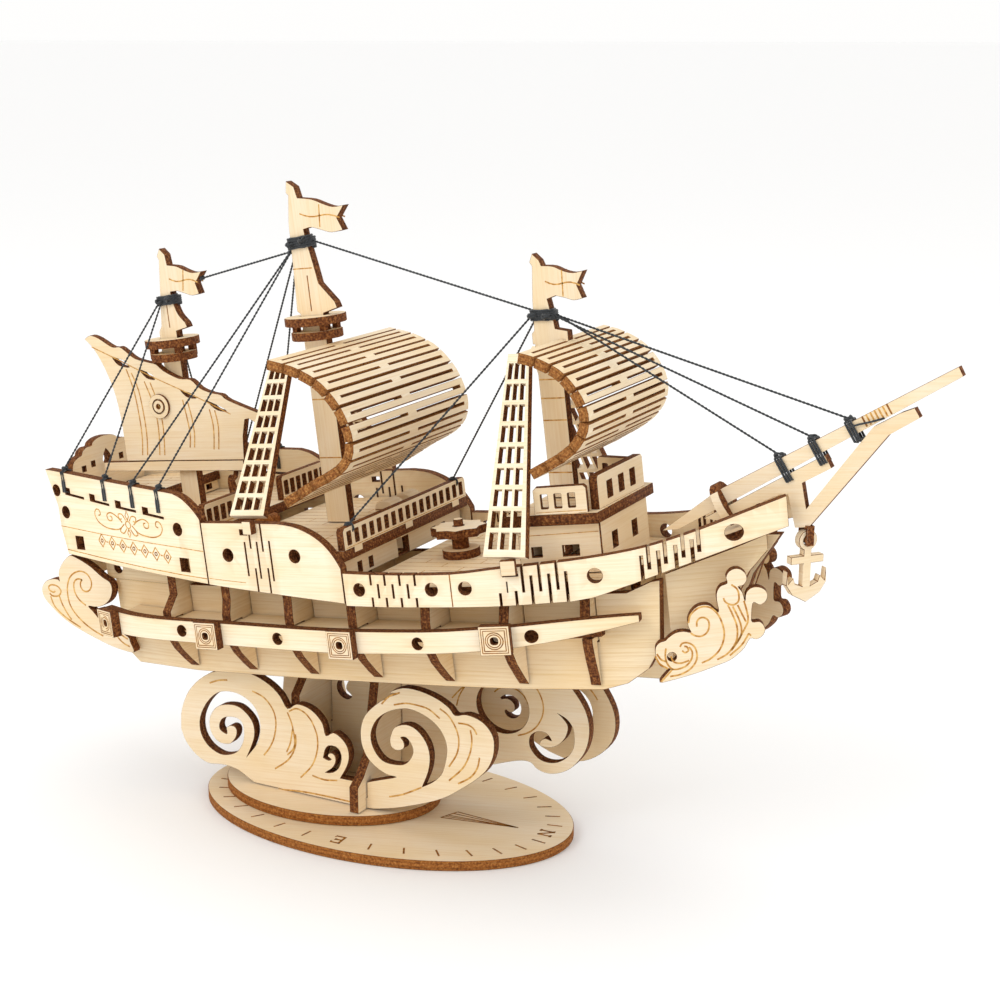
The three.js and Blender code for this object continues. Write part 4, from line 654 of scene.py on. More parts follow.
for i in range(7):
    s = -83.5 + i * 5.2
    h = 45.2 - (s + 83.5) * 0.105
    c_e.append((diamond(s, h, 1.7, 2.1), 0.55, 2, 1))
    c_e.append((circle(s, h, 0.55, 8) + [(s + 0.55, h)], 0.4, 3, 1))
    if i < 6:
        c_e.append(([(s + 2.1, h - 0.25), (s + 3.1, h - 0.35)], 0.45, 2, 1))
c_e += [([(-104.4, 48.8), (-90, 47.8), (-62, 46.0), (-48, 45.3), (-35.5, 44.6)], 0.26, 2, 1), ([(-103.0, 40.9), (-90, 39.8), (-62, 37.5), (-48, 36.6), (-35.5, 36.0)], 0.3, 2, 1)]
both_sides('stern_side_v', 'stern_side', outline=castle, holes=c_h, fn=bend(B_TAB), cuts=frange(-106, -36, 4.3), engr=c_e, bev=0.1, smoothing=True)

# ---- curved bulwark amidships
mbot = [(-34.9, 34.2), (-22, 33.2), (-8, 32.2), (2, 31.4), (10.8, 30.7), (15.9, 30.2)]
mtop = [(-34.9, 53.6), (-20, 53.9), (-5, 53.9)] + sm([(-5, 53.9), (0, 53.3), (4, 52.1), (8, 50.1), (11.4, 47.4), (14.0, 44.2), (15.9, 40.8)], 3)[1:]
mt = notched(mtop, [(-16.2, 0.24, 46.2), (-11.6, 0.24, 45.4)])
mb = notched(mbot, [(-15.4, 0.24, 40.0), (-10.6, 0.24, 40.2)])
mid = mt + mb[::-1]
m_h = [circle(-25.6, 43.8, 2.05, 20), circle(0, 44.2, 2.05, 20), slot(-18.4, 0.24, 37.6, 48.0), slot(-13.7, 0.24, 37.0, 48.2), slot(-8.9, 0.24, 36.4, 48.6), rect(-19.8, -16.9, 50.2, 51.9)]
both_sides('mid_bulwark_v', 'mid_bulwark', outline=mid, holes=m_h, fn=bend(B_TAB), cuts=frange(-32.3, 15, 4.3), bev=0.1, smoothing=True, engr=[([(-34.6, 36.2), (-20, 35.4)], 0.2, 2, 1)])

# ---- waist plank and bow plank
bt = [(16.3, 39.4), (30, 39.2), (51, 39.2), (66, 40.4), (84, 41.3), (98, 42.8), (108, 44.6), (120, 47.8), (132, 51.6), (141, 54.5)]
bb_ = [(16.3, 29.6), (50, 29.5), (84, 29.6), (98, 32.8), (108, 36), (120, 39.6), (141, 46)]
bt = sm(bt, 3); bb_ = sm(bb_, 3)
tc, bc, bh = [], [], []
for i, s in enumerate((25.8, 30.5, 35.3, 40.1)):
    tc.append((s, 0.26, at(bt, s) - 3.1)); bc.append((s, 0.26, at(bb_, s) + 2.8))
for s in (28.1, 32.9, 37.7):
    bh.append(slot(s, 0.26, 32.3, 36.4))
bc += [(65.2, 0.3, 33.2), (69.6, 0.3, 33.6), (74.0, 0.32, 37.8), (78.8, 0.32, 38.0), (83.4, 0.36, 38.4)]
tc += [(71.7, 0.3, 33.2), (76.3, 0.32, 33.2), (81.0, 0.32, 33.4)]
bh.append(slot(67.3, 0.3, 33.2, 36.6))
for s in (104.0, 108.5, 113.0, 117.2):
    bc.append((s, 0.42, at(bb_, s) + 0.76 * (at(bt, s) - at(bb_, s))))
for s in (105.9, 110.3, 114.9, 118.9):
    tc.append((s, 0.42, at(bb_, s) + 0.27 * (at(bt, s) - at(bb_, s))))
bh += [circle(21.5, 34.6, 1.95, 20), circle(45, 34.8, 1.95, 20), circle(55.2, 35.0, 1.95, 20), circle(91.2, 36.7, 2.1, 20), circle(127.7, 45.9, 2.3, 20), rect(66.3, 70.6, 37.9, 39.2)]
def clean_notch(line, cs):
    # keep each notch inside one straight run of the edge
    pts_ = sorted(set([p[0] for p in line]))
    keep = [p for p in line if not any(abs(p[0] - s) < w + 0.12 for s, w, h in cs)]
    if keep[0] != line[0]: keep = [line[0]] + keep
    if keep[-1] != line[-1]: keep = keep + [line[-1]]
    return notched(keep, cs)
bow = clean_notch(bt, tc) + clean_notch(bb_, bc)[::-1]
both_sides('bow_bulwark_v', 'bow_bulwark', outline=bow, holes=bh, fn=bend(B_TAB), cuts=frange(18.2, 140, 3.1), bev=0.1, smoothing=True,
           engr=[([(51.0, 29.7), (51.0, 34), (51.0, 39.1)], 0.34, 3, 1)])

# ---- wale with its plaques
wt = [(-85, 23.6), (-60, 22.8), (-30, 22.4), (8, 21.8), (40, 22.4), (66, 23.6), (84, 24.4), (102, 24.9)]
wb2 = [(-85, 16.1), (-60, 15.9), (-30, 15.5), (8, 15.0), (40, 15.9), (62, 17.0), (84, 19.4), (102, 22.9)]
wo = sm(wt, 3) + sm(wb2, 3)[::-1]
wh_ = [circle(-47.6, 19.3, 1.85, 20), circle(-10.4, 18.5, 1.85, 20), circle(38.9, 18.9, 1.85, 20), circle(73, 20.6, 1.85, 20)]
both_sides('wale_v', 'wale', outline=wo, holes=wh_, fn=bend(WALE_TAB), cuts=frange(-83, 101, 4.3), bev=0.1, smoothing=True)
for s, h in ((-80, 19.7), (-35.8, 19.0), (14, 18.4), (63.5, 20.6)):
    r = 4.25
    sq = [(s - r, h - r), (s + r, h - r), (s + r, h + r), (s - r, h + r)]
    e_ = []
    for q, w_ in ((3.55, 0.3), (2.95, 0.3)):
        e_.append(([(s - q, h - q), (s + q, h - q), (s + q, h + q), (s - q, h + q), (s - q, h - q)], w_, 3, 1))
    for q, w_ in ((2.45, 0.26), (1.85, 0.26)):
        e_.append((circle(s, h, q, 20) + [(s + q, h)], w_, 3, 1))
    both_sides('plaque_%d' % int(s + 100), 'wale', outline=sq, holes=[pill(s, h, 1.05)], t=3.0, fn=bend(WALE_TAB, t=3.0, off=3.0), engr=e_, bev=0.12)

# ---- stern scroll
sc_o = smooth(SC_OUT, 3)
sc_e = eng([SC_E_a, SC_E_b, SC_E_c, SC_E_d, SC_E_e, SC_E_f, SC_E_g], 0.55)
both_sides('stern_scroll_v', 'stern_scroll', outline=sc_o, mtx=M_side(-20.5), engr=sc_e, bev=0.12)

# ---- bow wave ornament
BWA = math.atan2(-7.9 + 24.9, 136 - 99.5)
M_BW = SHIP @ Matrix.Translation((99.5, -24.9, 0)) @ Matrix.Rotation(BWA, 4, 'Z') @ Matrix(((1, 0, 0, 0), (0, 0, -1, 0), (0, 1, 0, 0), (0, 0, 0, 1)))
bw_e = eng([BW_E_a, BW_E_b, BW_E_c, BW_E_e, BW_E_f, BW_E_g, BW_E_h, BW_E_i, BW_E_k, BW_E_l, BW_E_m, BW_E_n, BW_E_o, BW_E_p, BW_E_q], 0.5)
both_sides('bow_wave_v', 'bow_wave', outline=smooth(BW_OUT, 3), holes=[circle(10.2, 12.2, 1.3, 14)], mtx=M_BW, engr=bw_e, bev=0.12)

# ================================================================== hull, dressed from the CAD solids
dress('keel_plate', 'side')
# frames, inner walls, shelves and bow panels take the darker face as painted shade
for k in range(1, 8):
    dress('hull_frame_%d' % k, 'cross', face=FACE_INNER_SHADE)
for sd in ('stbd', 'port'):
    dress('hull_wall_' + sd, 'ribbon', face=FACE_INNER_SHADE)
    dress('hull_shelf_' + sd, 'flat', face=FACE_INNER_SHADE)
    dress('bow_panel_' + sd, 'ribbon', face=FACE_INNER_SHADE)
    dress('main_ladder_' + sd, 'ladder')
    dress('fore_ladder_' + sd, 'ladder')

# ================================================================== sails: one sheet hinged by rows of slits
def hinged_sail(name, node, prof, half, t, n, notch_top=None, notch_bot=None):
    # length along the outer line
    L = [0.0]
    fine = sm(prof, 6)
    for a, b in zip(fine, fine[1:]):
        L.append(L[-1] + math.hypot(b[0] - a[0], b[1] - a[1]))
    tot = L[-1]
    def on(d):
        d = min(max(d, 0.0), tot)
        for i in range(len(L) - 1):
            if d <= L[i + 1] + 1e-9:
                f = (d - L[i]) / max(1e-9, L[i + 1] - L[i])
                return (fine[i][0] + (fine[i + 1][0] - fine[i][0]) * f, fine[i][1] + (fine[i + 1][1] - fine[i][1]) * f)
        return fine[-1]
    # facets are of equal length along the outer line
    folds = [tot * k / n for k in range(n + 1)]
    pts_ = [on(d) for d in folds]
    nrm = []
    for a, b in zip(pts_, pts_[1:]):
        l = math.hypot(b[0] - a[0], b[1] - a[1])
        nrm.append((-(b[1] - a[1]) / l, (b[0] - a[0]) / l))
    # outward is away from the mast side
    cx = sum(p[0] for p in prof) / len(prof); cy = sum(p[1] for p in prof) / len(prof)
    k0 = n // 2
    sg = 1 if (nrm[k0][0] * (pts_[k0][0] - cx) + nrm[k0][1] * (pts_[k0][1] - cy)) > 0 else -1
    def fn(u, v, w):
        d = w - t / 2
        k = min(n - 1, max(0, int(u / (tot / n) + 1e-6)))
        f = (u - folds[k]) / (folds[k + 1] - folds[k])
        a, b = pts_[k], pts_[k + 1]
        nx, ny = nrm[k]
        if f < 0.004 and k > 0:
            m = (nrm[k][0] + nrm[k - 1][0], nrm[k][1] + nrm[k - 1][1]); l = math.hypot(*m); nx, ny = m[0] / l, m[1] / l
        elif f > 0.996 and k < n - 1:
            m = (nrm[k][0] + nrm[k + 1][0], nrm[k][1] + nrm[k + 1][1]); l = math.hypot(*m); nx, ny = m[0] / l, m[1] / l
        return SHIP @ Vector((a[0] + (b[0] - a[0]) * f + sg * nx * d, -v, a[1] + (b[1] - a[1]) * f + sg * ny * d))
    # rows alternate: one slit open at the near edge, then a pair with a bridge in the middle, open at the far edge
    near = [(0, half)]
    far = [(0, -half)]
    hs = []
    for k in range(1, n):
        c = folds[k]
        if k % 2 == 0:
            w_ = 0.45
            near += [(c - w_, half), (c - w_, -half + 2.8), (c + w_, -half + 2.8), (c + w_, half)]
        else:
            w_ = 0.38
            far += [(c - w_, -half), (c - w_, -2.6), (c + w_, -2.6), (c + w_, -half)]
            hs.append([(c - w_, 2.6), (c + w_, 2.6), (c + w_, half - 3.4), (c - w_, half - 3.4)])
    near.append((tot, half)); far.append((tot, -half))
    end0 = [] if not notch_top else [(0, 2.1), (notch_top, 2.1), (notch_top, -2.1), (0, -2.1)]
    outl = far + near[::-1] + end0
    plate(name, node, outl, holes=hs, t=t, fn=fn, cuts=folds[1:-1], bev=0.1, grain=math.pi / 2, edge=EDGE_S)
MAIN_SAIL = [(-4.6, 101.8), (3.0, 99.8), (7.6, 97.8), (12, 95.2), (15.6, 91.6), (18.6, 87.4), (20.6, 82.6), (21.6, 77.6), (20.8, 72.4), (17.6, 68.4), (12.8, 65.6), (7.1, 63.2), (2.0, 60.6), (-4.4, 57.4)]
FORE_SAIL = [(74.8, 99.6), (79, 98.4), (83, 96.6), (87, 94.2), (90, 91.0), (92.6, 87.0), (94.0, 83.0), (94.0, 79.0), (92.6, 75.4), (89.4, 71.6), (84.6, 68.4), (79.6, 66.0), (75.4, 64.0)]
hinged_sail('main_sail_v', 'main_sail', MAIN_SAIL, 34.5, 3.0, 26)
hinged_sail('fore_sail_v', 'fore_sail', FORE_SAIL, 28.0, 3.0, 22, notch_top=1.6)

# ================================================================== lateen sail and its boom
LY = -T / 2 - 0.3 - 1.3
LAT_TOP = [(-98.73, 107.73), (-96.28, 108.89), (-92.82, 107.78), (-87.73, 104.70), (-84.53, 104.56), (-82.04, 102.88), (-78.88, 100.54), (-73.59, 99.07), (-70.57, 98.33), (-67.85, 96.04), (-62.09, 93.33), (-57.53, 92.86), (-54.19, 89.95), (-49.89, 88.26), (-46.22, 87.53), (-43.52, 85.59), (-31.58, 80.96)]
LAT_LEFT = [(-98.73, 107.73), (-95.53, 104.40), (-92.24, 98.21), (-89.67, 90.46), (-88.59, 83.38), (-88.31, 76.29), (-88.44, 69.19)]
LAT_E_a = [(-83.11, 97.23), (-81.23, 90.19), (-80.50, 81.25), (-80.62, 74.21), (-81.53, 68.44)]
LAT_E_b = [(-81.20, 95.90), (-79.24, 90.13), (-78.51, 81.20), (-78.62, 74.17), (-79.45, 68.41)]
LAT_E_c = [(-76.33, 92.88), (-73.84, 84.89), (-73.26, 77.26), (-74.34, 68.33)]
LAT_E_d = [(-74.02, 92.48), (-71.87, 84.84), (-71.28, 77.21), (-72.28, 68.30)]
LAT_E_e = [(-61.77, 86.44), (-60.95, 80.14), (-60.68, 75.09), (-61.46, 70.68)]
LAT_E_f = [(-59.89, 86.07), (-59.01, 80.09), (-58.90, 75.06), (-59.67, 70.65)]
LAT_E_g = [(-51.56, 83.03), (-50.90, 78.02), (-51.27, 73.65), (-51.92, 69.89)]
LAT_E_h = [(-49.49, 82.66), (-48.92, 77.98), (-49.37, 73.61), (-50.01, 69.86)]
LAT_E_i = [(-96.22, 105.07), (-86.11, 100.52), (-72.89, 94.34), (-56.92, 87.54), (-43.40, 81.2)]
LAT_L_a = [(-88.21, 101.36), (-86.05, 100.83), (-83.03, 99.76), (-81.64, 97.81), (-84.93, 98.25), (-86.76, 99.27)]
LAT_L_b = [(-77.37, 96.70), (-74.96, 95.98), (-72.77, 94.96), (-71.88, 93.36), (-74.58, 93.76), (-76.32, 95.09)]
LAT_L_c = [(-62.12, 89.70), (-59.78, 88.88), (-57.22, 88.05), (-56.13, 86.77), (-58.96, 86.98), (-60.72, 87.97)]
LAT_L_d = [(-51.87, 85.65), (-49.36, 84.71), (-46.53, 83.51), (-44.87, 82.10), (-48.20, 82.63), (-50.26, 83.93)]
LAT_RING = [(-69.14, 85.52), (-72.91, 85.63), (-69.85, 81.62)]

lat = sm(LAT_TOP, 3) + [(-31.4, 78.4), (-33.4, 77.8), (-36.6, 79.6), (-38.2, 79.4), (-39.8, 74.0), (-40.6, 66.4), (-88.4, 66.6)] + sm(LAT_LEFT[::-1], 3)[:-1]
l_h = [smooth(p, 3) for p in (LAT_L_a, LAT_L_b, LAT_L_c, LAT_L_d)] + [circle(-71.2, 84.6, 1.7, 18)]
l_e = eng([LAT_E_a, LAT_E_b, LAT_E_c, LAT_E_d, LAT_E_e, LAT_E_f, LAT_E_g, LAT_E_h], 0.45) + eng([LAT_E_i], 0.35)
plate('lateen_v', 'lateen_sail', lat, holes=l_h, t=2.6, mtx=M_side(LY), engr=l_e, bev=0.1)
plate('lateen_boom', 'lateen_sail', [(-98.5, 63.2), (-41.0, 62.8), (-41.0, 66.2), (-70, 66.4), (-98.5, 66.2)], t=2.6, mtx=M_side(LY), bev=0.12)
# two rings round the halyard hole
plate('lateen_ring', 'lateen_sail', circle(-71.2, 84.6, 4.0, 32), holes=[circle(-71.2, 84.6, 2.5, 26)], t=0.9, mtx=M_side(LY - 1.3 - 0.45), bev=0.08)
plate('lateen_eye', 'lateen_sail', circle(-71.2, 84.6, 2.05, 26), holes=[circle(-71.2, 84.6, 0.9, 16)], t=1.1, mtx=M_side(LY - 1.3 - 0.5), bev=0.08, edge=EDGE_G)

# ================================================================== masts with engraved flags
def lines_grid(poly_fn, nu, nv, w=0.3):
    out = []
    for i in range(1, nu):
        out.append(([poly_fn(i / nu, j / 6) for j in range(7)], w, 2, 0))
    for j in range(1, nv):
        out.append(([poly_fn(i / 8, j / nv) for i in range(9)], w, 2, 0))
    return out
def flag_patch(a, b, c, d, sag=1.0):
    # a, b lower edge (hoist to fly), d, c upper edge
    def f(u, v):
        x = (a[0] * (1 - u) + b[0] * u) * (1 - v) + (d[0] * (1 - u) + c[0] * u) * v
        y = (a[1] * (1 - u) + b[1] * u) * (1 - v) + (d[1] * (1 - u) + c[1] * u) * v
        return (x, y - sag * math.sin(2 * math.pi * u) * 0.6)
    return f
MAIN_MAST = [(-13.6, 45.3), (-5.2, 45.3), (-5.2, 103.2), (-5.2, 111.2), (0.1, 112.6), (-0.6, 114.6)] + [(-5.6, 120.4), (-6.6, 126.0), (-7.4, 130)] + [(-8.2, 133.6)] + sm([(-8.6, 137.0), (-5.6, 137.4), (-2.2, 136.4), (1.4, 135.4), (5.6, 135.8)], 3) + [(3.9, 139.6), (6.9, 143.2)] + sm([(6.9, 143.2), (3.0, 143.0), (-0.6, 144.2), (-4.4, 145.8), (-9.4, 146.6)], 3)[1:] + [(-10.2, 150.0), (-12.8, 151.9), (-13.4, 148.4), (-12.6, 147.6), (-13.8, 139.4), (-14.2, 126), (-14.8, 112.2), (-13.6, 111.2)]
fl = flag_patch((-9.2, 138.0), (4.2, 136.6), (5.6, 142.6), (-9.4, 145.6))
mm_e = lines_grid(fl, 2, 2, 0.42) + [([(-13.4, h), (-5.4, h)], 0.4, 2, 0) for h in (60, 66, 84.5, 92, 98.4)] + [([(-9.4, 112), (-9.4, 123)], 0.4, 3, 0), ([(-14.3, 125.2), (-7.2, 125.2)], 0.35, 2, 0)]
plate('main_mast_v', 'main_mast', MAIN_MAST, mtx=M_side(0), engr=mm_e, bev=0.12, grain=math.pi / 2)
MIZ = [(-69.6, 50.5), (-62.6, 50.5), (-62.6, 108.4), (-58, 109.4)] + sm([(-58.6, 111), (-61.0, 113.8), (-62.2, 117.4), (-62.8, 121.0)], 3) + sm([(-60.0, 121.2), (-57.0, 120.2), (-54.2, 119.4), (-51.4, 119.8)], 3) + [(-52.4, 123.2), (-49.4, 126.8)] + sm([(-49.4, 126.8), (-53, 126.6), (-56, 127.6), (-59, 129.0), (-62.6, 129.6)], 3)[1:] + [(-63.0, 133.0), (-64.9, 135), (-66.2, 132.6), (-65.6, 131.4), (-67.0, 121), (-68.4, 110.2), (-69.6, 108.4)]
fl = flag_patch((-62.6, 121.6), (-52.6, 120.6), (-50.4, 126.4), (-62.6, 128.9))
plate('mizzen_mast_v', 'mizzen_mast', MIZ, mtx=M_side(0), bev=0.12, grain=math.pi / 2, engr=lines_grid(fl, 2, 2, 0.42) + [([(-65.0, 109.6), (-65.0, 117)], 0.35, 3, 0)] + [([(-69.4, h), (-62.8, h)], 0.4, 2, 0) for h in (74, 86, 92)])
FOR = [(66.4, 53.0), (74.4, 53.0), (74.4, 98.4), (77.3, 99), (77.3, 101.8), (73.4, 102.6)] + sm([(73.2, 104.4), (72.4, 108.0), (71.8, 111.2)], 3) + sm([(74.6, 112.0), (77.6, 111.2), (80.2, 110.4), (83.0, 110.8)], 3) + [(81.6, 114.6), (84.0, 118.6)] + sm([(84.0, 118.6), (80.6, 118.2), (77.6, 119.0), (74.6, 120.4), (71.0, 120.8)], 3)[1:] + [(70.4, 122.4), (68.4, 124.4), (67.3, 122.0), (68.0, 120.8), (67.0, 111), (66.6, 102.4), (65.7, 101.4), (65.7, 98.4), (66.4, 98.4)]
fl = flag_patch((72.0, 112.2), (82.0, 111.2), (83.2, 117.9), (71.4, 120.4))
plate('fore_mast_v', 'fore_mast', FOR, mtx=M_side(0), bev=0.12, grain=math.pi / 2, engr=lines_grid(fl, 2, 2, 0.42) + [([(66.6, h), (74.2, h)], 0.4, 2, 0) for h in (60.5, 63, 76, 82.5, 88)])
for nm in ('main_nest', 'mizzen_nest'):
    dress(nm, 'flat')

# ================================================================== bowsprit and brace
SPAR = [(101, 43.2), (118.4, 54.6), (188.2, 87.1), (189.4, 84.4), (150, 65.2), (120.4, 50.6), (106, 43.6)]
def along(p0, p1, f0, f1, off):
    dx, dy = p1[0] - p0[0], p1[1] - p0[1]
    l = math.hypot(dx, dy)
    nx, ny = -dy / l, dx / l
    return [(p0[0] + dx * f + nx * off, p0[1] + dy * f + ny * off) for f in (f0, f1)]
s_e = []
for k in range(7):
    f = 0.62 + k * 0.0165
    a_ = along((118.4, 54.6), (188.2, 87.1), f, f, 0.0)[0]
    b_ = along((150, 65.2), (189.4, 84.4), 0, 0, 0)[0]
    dx, dy = 0.42, -0.905
    s_e.append(([(a_[0] - 0.1 * dx, a_[1] - 0.1 * dy), (a_[0] + 3.0 * dx, a_[1] + 3.0 * dy)], 0.5, 3 if k in (0, 6) else 2, 1))
dress('bowsprit', 'side')
dress('bowsprit_brace', 'side')
def overlay(name, node, lines, y, frame_m=SHIP):
    # engraved strokes laid on a face at y (starboard face)
    bm = bmesh.new()
    bm.loops.layers.uv.new('grain')
    for p, w_, m_ in lines:
        strip(bm, p, w_, 0.0, 1, m_)
    M_ = M_side(y, frame_m)
    for v in bm.verts:
        v.co = (M_ @ v.co) * MM
    bmesh.ops.recalc_face_normals(bm, faces=bm.faces)
    return finish(name, bm, node, [FACE, EDGE, ENG, ENG_D])
overlay('spar_bands', 'bowsprit', [(p, w_, m_) for p, w_, m_, _ in s_e], -1.5)

dress('capstan_wheel', 'flat')
dress('helm_wheel', 'cross')
dress('anchor', 'house')

# ================================================================== decks and superstructure
def inside(s, m=0.35):
    return lerp(B_TAB, s) - T - 0.3 - m
def deck_outline(ss, m=0.35):
    return [(s, -inside(s, m)) for s in ss] + [(s, inside(s, m)) for s in ss[::-1]]
def planks(s0, s1, m=1.2, step=4.4, w=0.26, up=1, skip=None):
    out = []
    y = -step * 9
    row = 0
    while y <= step * 9 + 0.1:
        run = [s for s in frange(s0, s1, 2.0) + [s1] if inside(s, m) > abs(y)]
        if len(run) > 3:
            out.append(([(a, y) for a in (run[0], (run[0] + run[-1]) / 2, run[-1])], w, 2, up))
            b = s0 + 7 + (row * 11.0) % 19
            while b < s1 - 2:
                if inside(b, m) > abs(y) + step:
                    out.append(([(b, y + 0.2), (b, y + step - 0.2)], w, 2, up))
                b += 19
        y += step
        row += 1
    return out

# main deck plank lines, and the capstan foot
def overlay_on(name, node, lines, M_):
    bm = bmesh.new()
    bm.loops.layers.uv.new('grain')
    for e in lines:
        strip(bm, e[0], e[1], 0.0, 1, e[2])
    for v in bm.verts:
        v.co = (M_ @ v.co) * MM
    bmesh.ops.recalc_face_normals(bm, faces=bm.faces)
    return finish(name, bm, node, [FACE, EDGE, ENG, ENG_D])
plate('main_deck_v', 'main_deck', deck_outline([16.6, 30, 52, 66, 84, 96.5]), mtx=M_flat(31.3 + T / 2), engr=planks(17.2, 95.5), bev=0.1)
plate('capstan_base_v', 'main_deck', circle(33, 0, 5.8, 40), t=2.8, mtx=M_flat(34.3 + 1.4), bev=0.12)
plate('capstan_post_v', 'main_deck', circle(33, 0, 1.5, 24), t=10.6, mtx=M_flat(35.5 + 5.3), bev=0.12, edge=EDGE)
plate('capstan_collar_v', 'main_deck', circle(33, 0, 2.6, 28), t=5.0, mtx=M_flat(36.0 + 2.5), bev=0.12)
dress('bow_deck', 'flat')
# quarter deck, its balustrade and the wall under it
plate('quarter_v', 'quarter_deck', deck_outline([-33.6, -20, 0, 15.3]), mtx=M_flat(41.8 + T / 2), engr=planks(-33, 12.0), bev=0.1)
hw = inside(14, 0.6)
rs, rt = [], []
for i in range(17):
    y = -hw + 3 + i * (2 * hw - 6) / 16
    rs.append(rrect(y - 1.15, y + 1.15, 46.2, 50.3, 0.2, 1))
rail = [(-hw, 45.0), (-hw + 5, 45.0), (-hw + 5, 43.3), (-hw + 9.5, 43.3), (-hw + 9.5, 45.0), (-2.2, 45.0), (-2.2, 43.3), (2.2, 43.3), (2.2, 45.0), (hw - 9.5, 45.0), (hw - 9.5, 43.3), (hw - 5, 43.3), (hw - 5, 45.0), (hw, 45.0), (hw, 50.6), (hw - 0.8, 51.6), (-hw + 0.8, 51.6), (-hw, 50.6)]
plate('quarter_rail_v', 'quarter_deck', rail, holes=rs, t=2.4, mtx=M_cross(14.3), bev=0.1, engr=[([(-hw + 1, 45.5), (hw - 1, 45.5)], 0.22, 2, 0)])
ww = inside(12, 0.6)
plate('quarter_wall_v', 'quarter_deck', rect(-ww, ww, 34.8, 41.9), holes=[rect(-26.4, -24.0, 35.7, 39.0), rect(-20.2, -17.8, 35.7, 39.0), rect(-3.4, 3.4, 35.0, 40.2), rect(17.8, 20.2, 35.7, 39.0), rect(24, 26.4, 35.7, 39.0)], t=2.4, mtx=M_cross(11.2), bev=0.1, engr=[([(-ww + 0.5, 40.9), (ww - 0.5, 40.9)], 0.22, 2, 1)])
# poop deck with its front rails, helm stand
plate('poop_v', 'poop_deck', deck_outline([-99.8, -75, -35.6]), mtx=M_flat(47 + T / 2), engr=planks(-99, -39), bev=0.1)
pw = inside(-37, 0.6)
for k, sg in enumerate((-1, 1)):
    y0, y1 = (8, pw) if sg > 0 else (-pw, -8)
    sl = []
    for i in range(7):
        y = y0 + 2.2 + i * (y1 - y0 - 4.4) / 6
        sl.append(rrect(y - 1.15, y + 1.15, 51.8, 56.4, 0.2, 1))
    plate('poop_rail_%d' % k, 'poop_deck', [(y0, 49.0), (y1, 49.0), (y1, 57.4), (y1 - 0.8, 58.2), (y0 + 0.8, 58.2), (y0, 57.4)], holes=sl, t=2.4, mtx=M_cross(-37.4), bev=0.1, engr=[([(y0 + 0.6, 50.8), (y1 - 0.6, 50.8)], 0.22, 2, 0)])
plate('helm_stand_v', 'poop_deck', sm([(-2.6, 49.8), (-2.2, 52), (-1.5, 55), (-1.8, 58), (-1.2, 60), (0, 60.6), (1.2, 60), (1.8, 58), (1.5, 55), (2.2, 52), (2.6, 49.8)], 3), t=2.2, mtx=M_cross(-49.4), bev=0.1)
plate('helm_shaft_v', 'poop_deck', circle(0, 57.6, 0.8, 20), t=5.6, mtx=M_cross(-47.2), bev=0.1)
plate('helm_knob_v', 'poop_deck', circle(0, 57.6, 1.7, 24), t=0.9, mtx=M_cross(-44.5), bev=0.1)
# aft deck, its bulkhead and the stair
plate('aft_v', 'aft_deck', deck_outline([-99.8, -88, -75]), mtx=M_flat(53.8 + T / 2), engr=planks(-99, -76), bev=0.1)
aw = inside(-76.4, 0.4)
plate('aft_wall_v', 'aft_deck', rect(-aw, aw, 50.5, 54.2), t=2.4, mtx=M_cross(-77.0), bev=0.1, holes=[rect(-22, -19, 51.4, 53.2), rect(19, 22, 51.4, 53.2), rect(4, 7, 51.4, 53.2)])
for k, y in enumerate((-14.0, -4.8)):
    plate('stair_string_%d' % k, 'aft_deck', [(-76.4, 50.5), (-76.4, 56.6), (-72.2, 56.6), (-70.4, 54.6), (-66.2, 52.4), (-63.5, 50.5)], t=1.8, mtx=M_side(y), bev=0.1)
for k in range(4):
    s_, h_ = -74.6 + k * 2.6, 55.2 - k * 1.35
    plate('stair_tread_%d' % k, 'aft_deck', rect(s_ - 1.5, s_ + 1.5, -13.4, -5.4), t=1.0, mtx=M_flat(h_), bev=0.08)
plate('stair_back', 'aft_deck', rect(-13.2, -5.6, 50.6, 55.4), t=1.6, mtx=M_cross(-75.6), bev=0.1)
# transom crown
crown = [(-17.6, 30), (17.6, 30), (17.6, 63)] + sm([(17.6, 63), (17.5, 66.6), (16.2, 68.9), (13.6, 69.9), (12.2, 70.2), (11.4, 71.4), (9.2, 72.4), (6.8, 72.4), (6.0, 73.4), (3.4, 74.4), (0, 74.7), (-3.4, 74.4), (-6.0, 73.4), (-6.8, 72.4), (-9.2, 72.4), (-11.4, 71.4), (-12.2, 70.2), (-13.6, 69.9), (-16.2, 68.9), (-17.5, 66.6), (-17.6, 63)], 3)[1:]
tr_h = [rect(-12.9, -10.9, 64.6, 66.5), rect(-8.2, -6.2, 65.4, 67.3), rect(6.2, 8.2, 65.4, 67.3), rect(10.9, 12.9, 64.6, 66.5), sm([(0, 70.2), (1.5, 68.4), (2.1, 66.4), (0.9, 64.8), (0, 64.3), (-0.9, 64.8), (-2.1, 66.4), (-1.5, 68.4), (0, 70.2)], 3)[:-1],
        rect(-11.5, -7.5, 43, 48), rect(7.5, 11.5, 43, 48), rect(-2.2, 2.2, 43, 49), rect(-11, -8, 54, 57), rect(8, 11, 54, 57)]
tr_e = [(p, 0.42, 2, -1) for p in flourish(0, 59.2, 0.62, 0.0)] + [([(-17.2, 51.5), (17.2, 51.5)], 0.3, 2, -1), ([(-17.2, 40.4), (17.2, 40.4)], 0.3, 2, -1), ([(-17.2, 35), (17.2, 35)], 0.3, 2, -1)]
for (a_, b_, c_, d_) in ((-12.4, -6.6, 42.1, 48.9), (6.6, 12.4, 42.1, 48.9), (-3.1, 3.1, 42.1, 49.9)):
    tr_e.append(([(a_, c_), (b_, c_), (b_, d_), (a_, d_), (a_, c_)], 0.3, 3, -1))
plate('transom_v', 'transom', crown, holes=tr_h, mtx=M_cross(-102.4), engr=tr_e, bev=0.12)

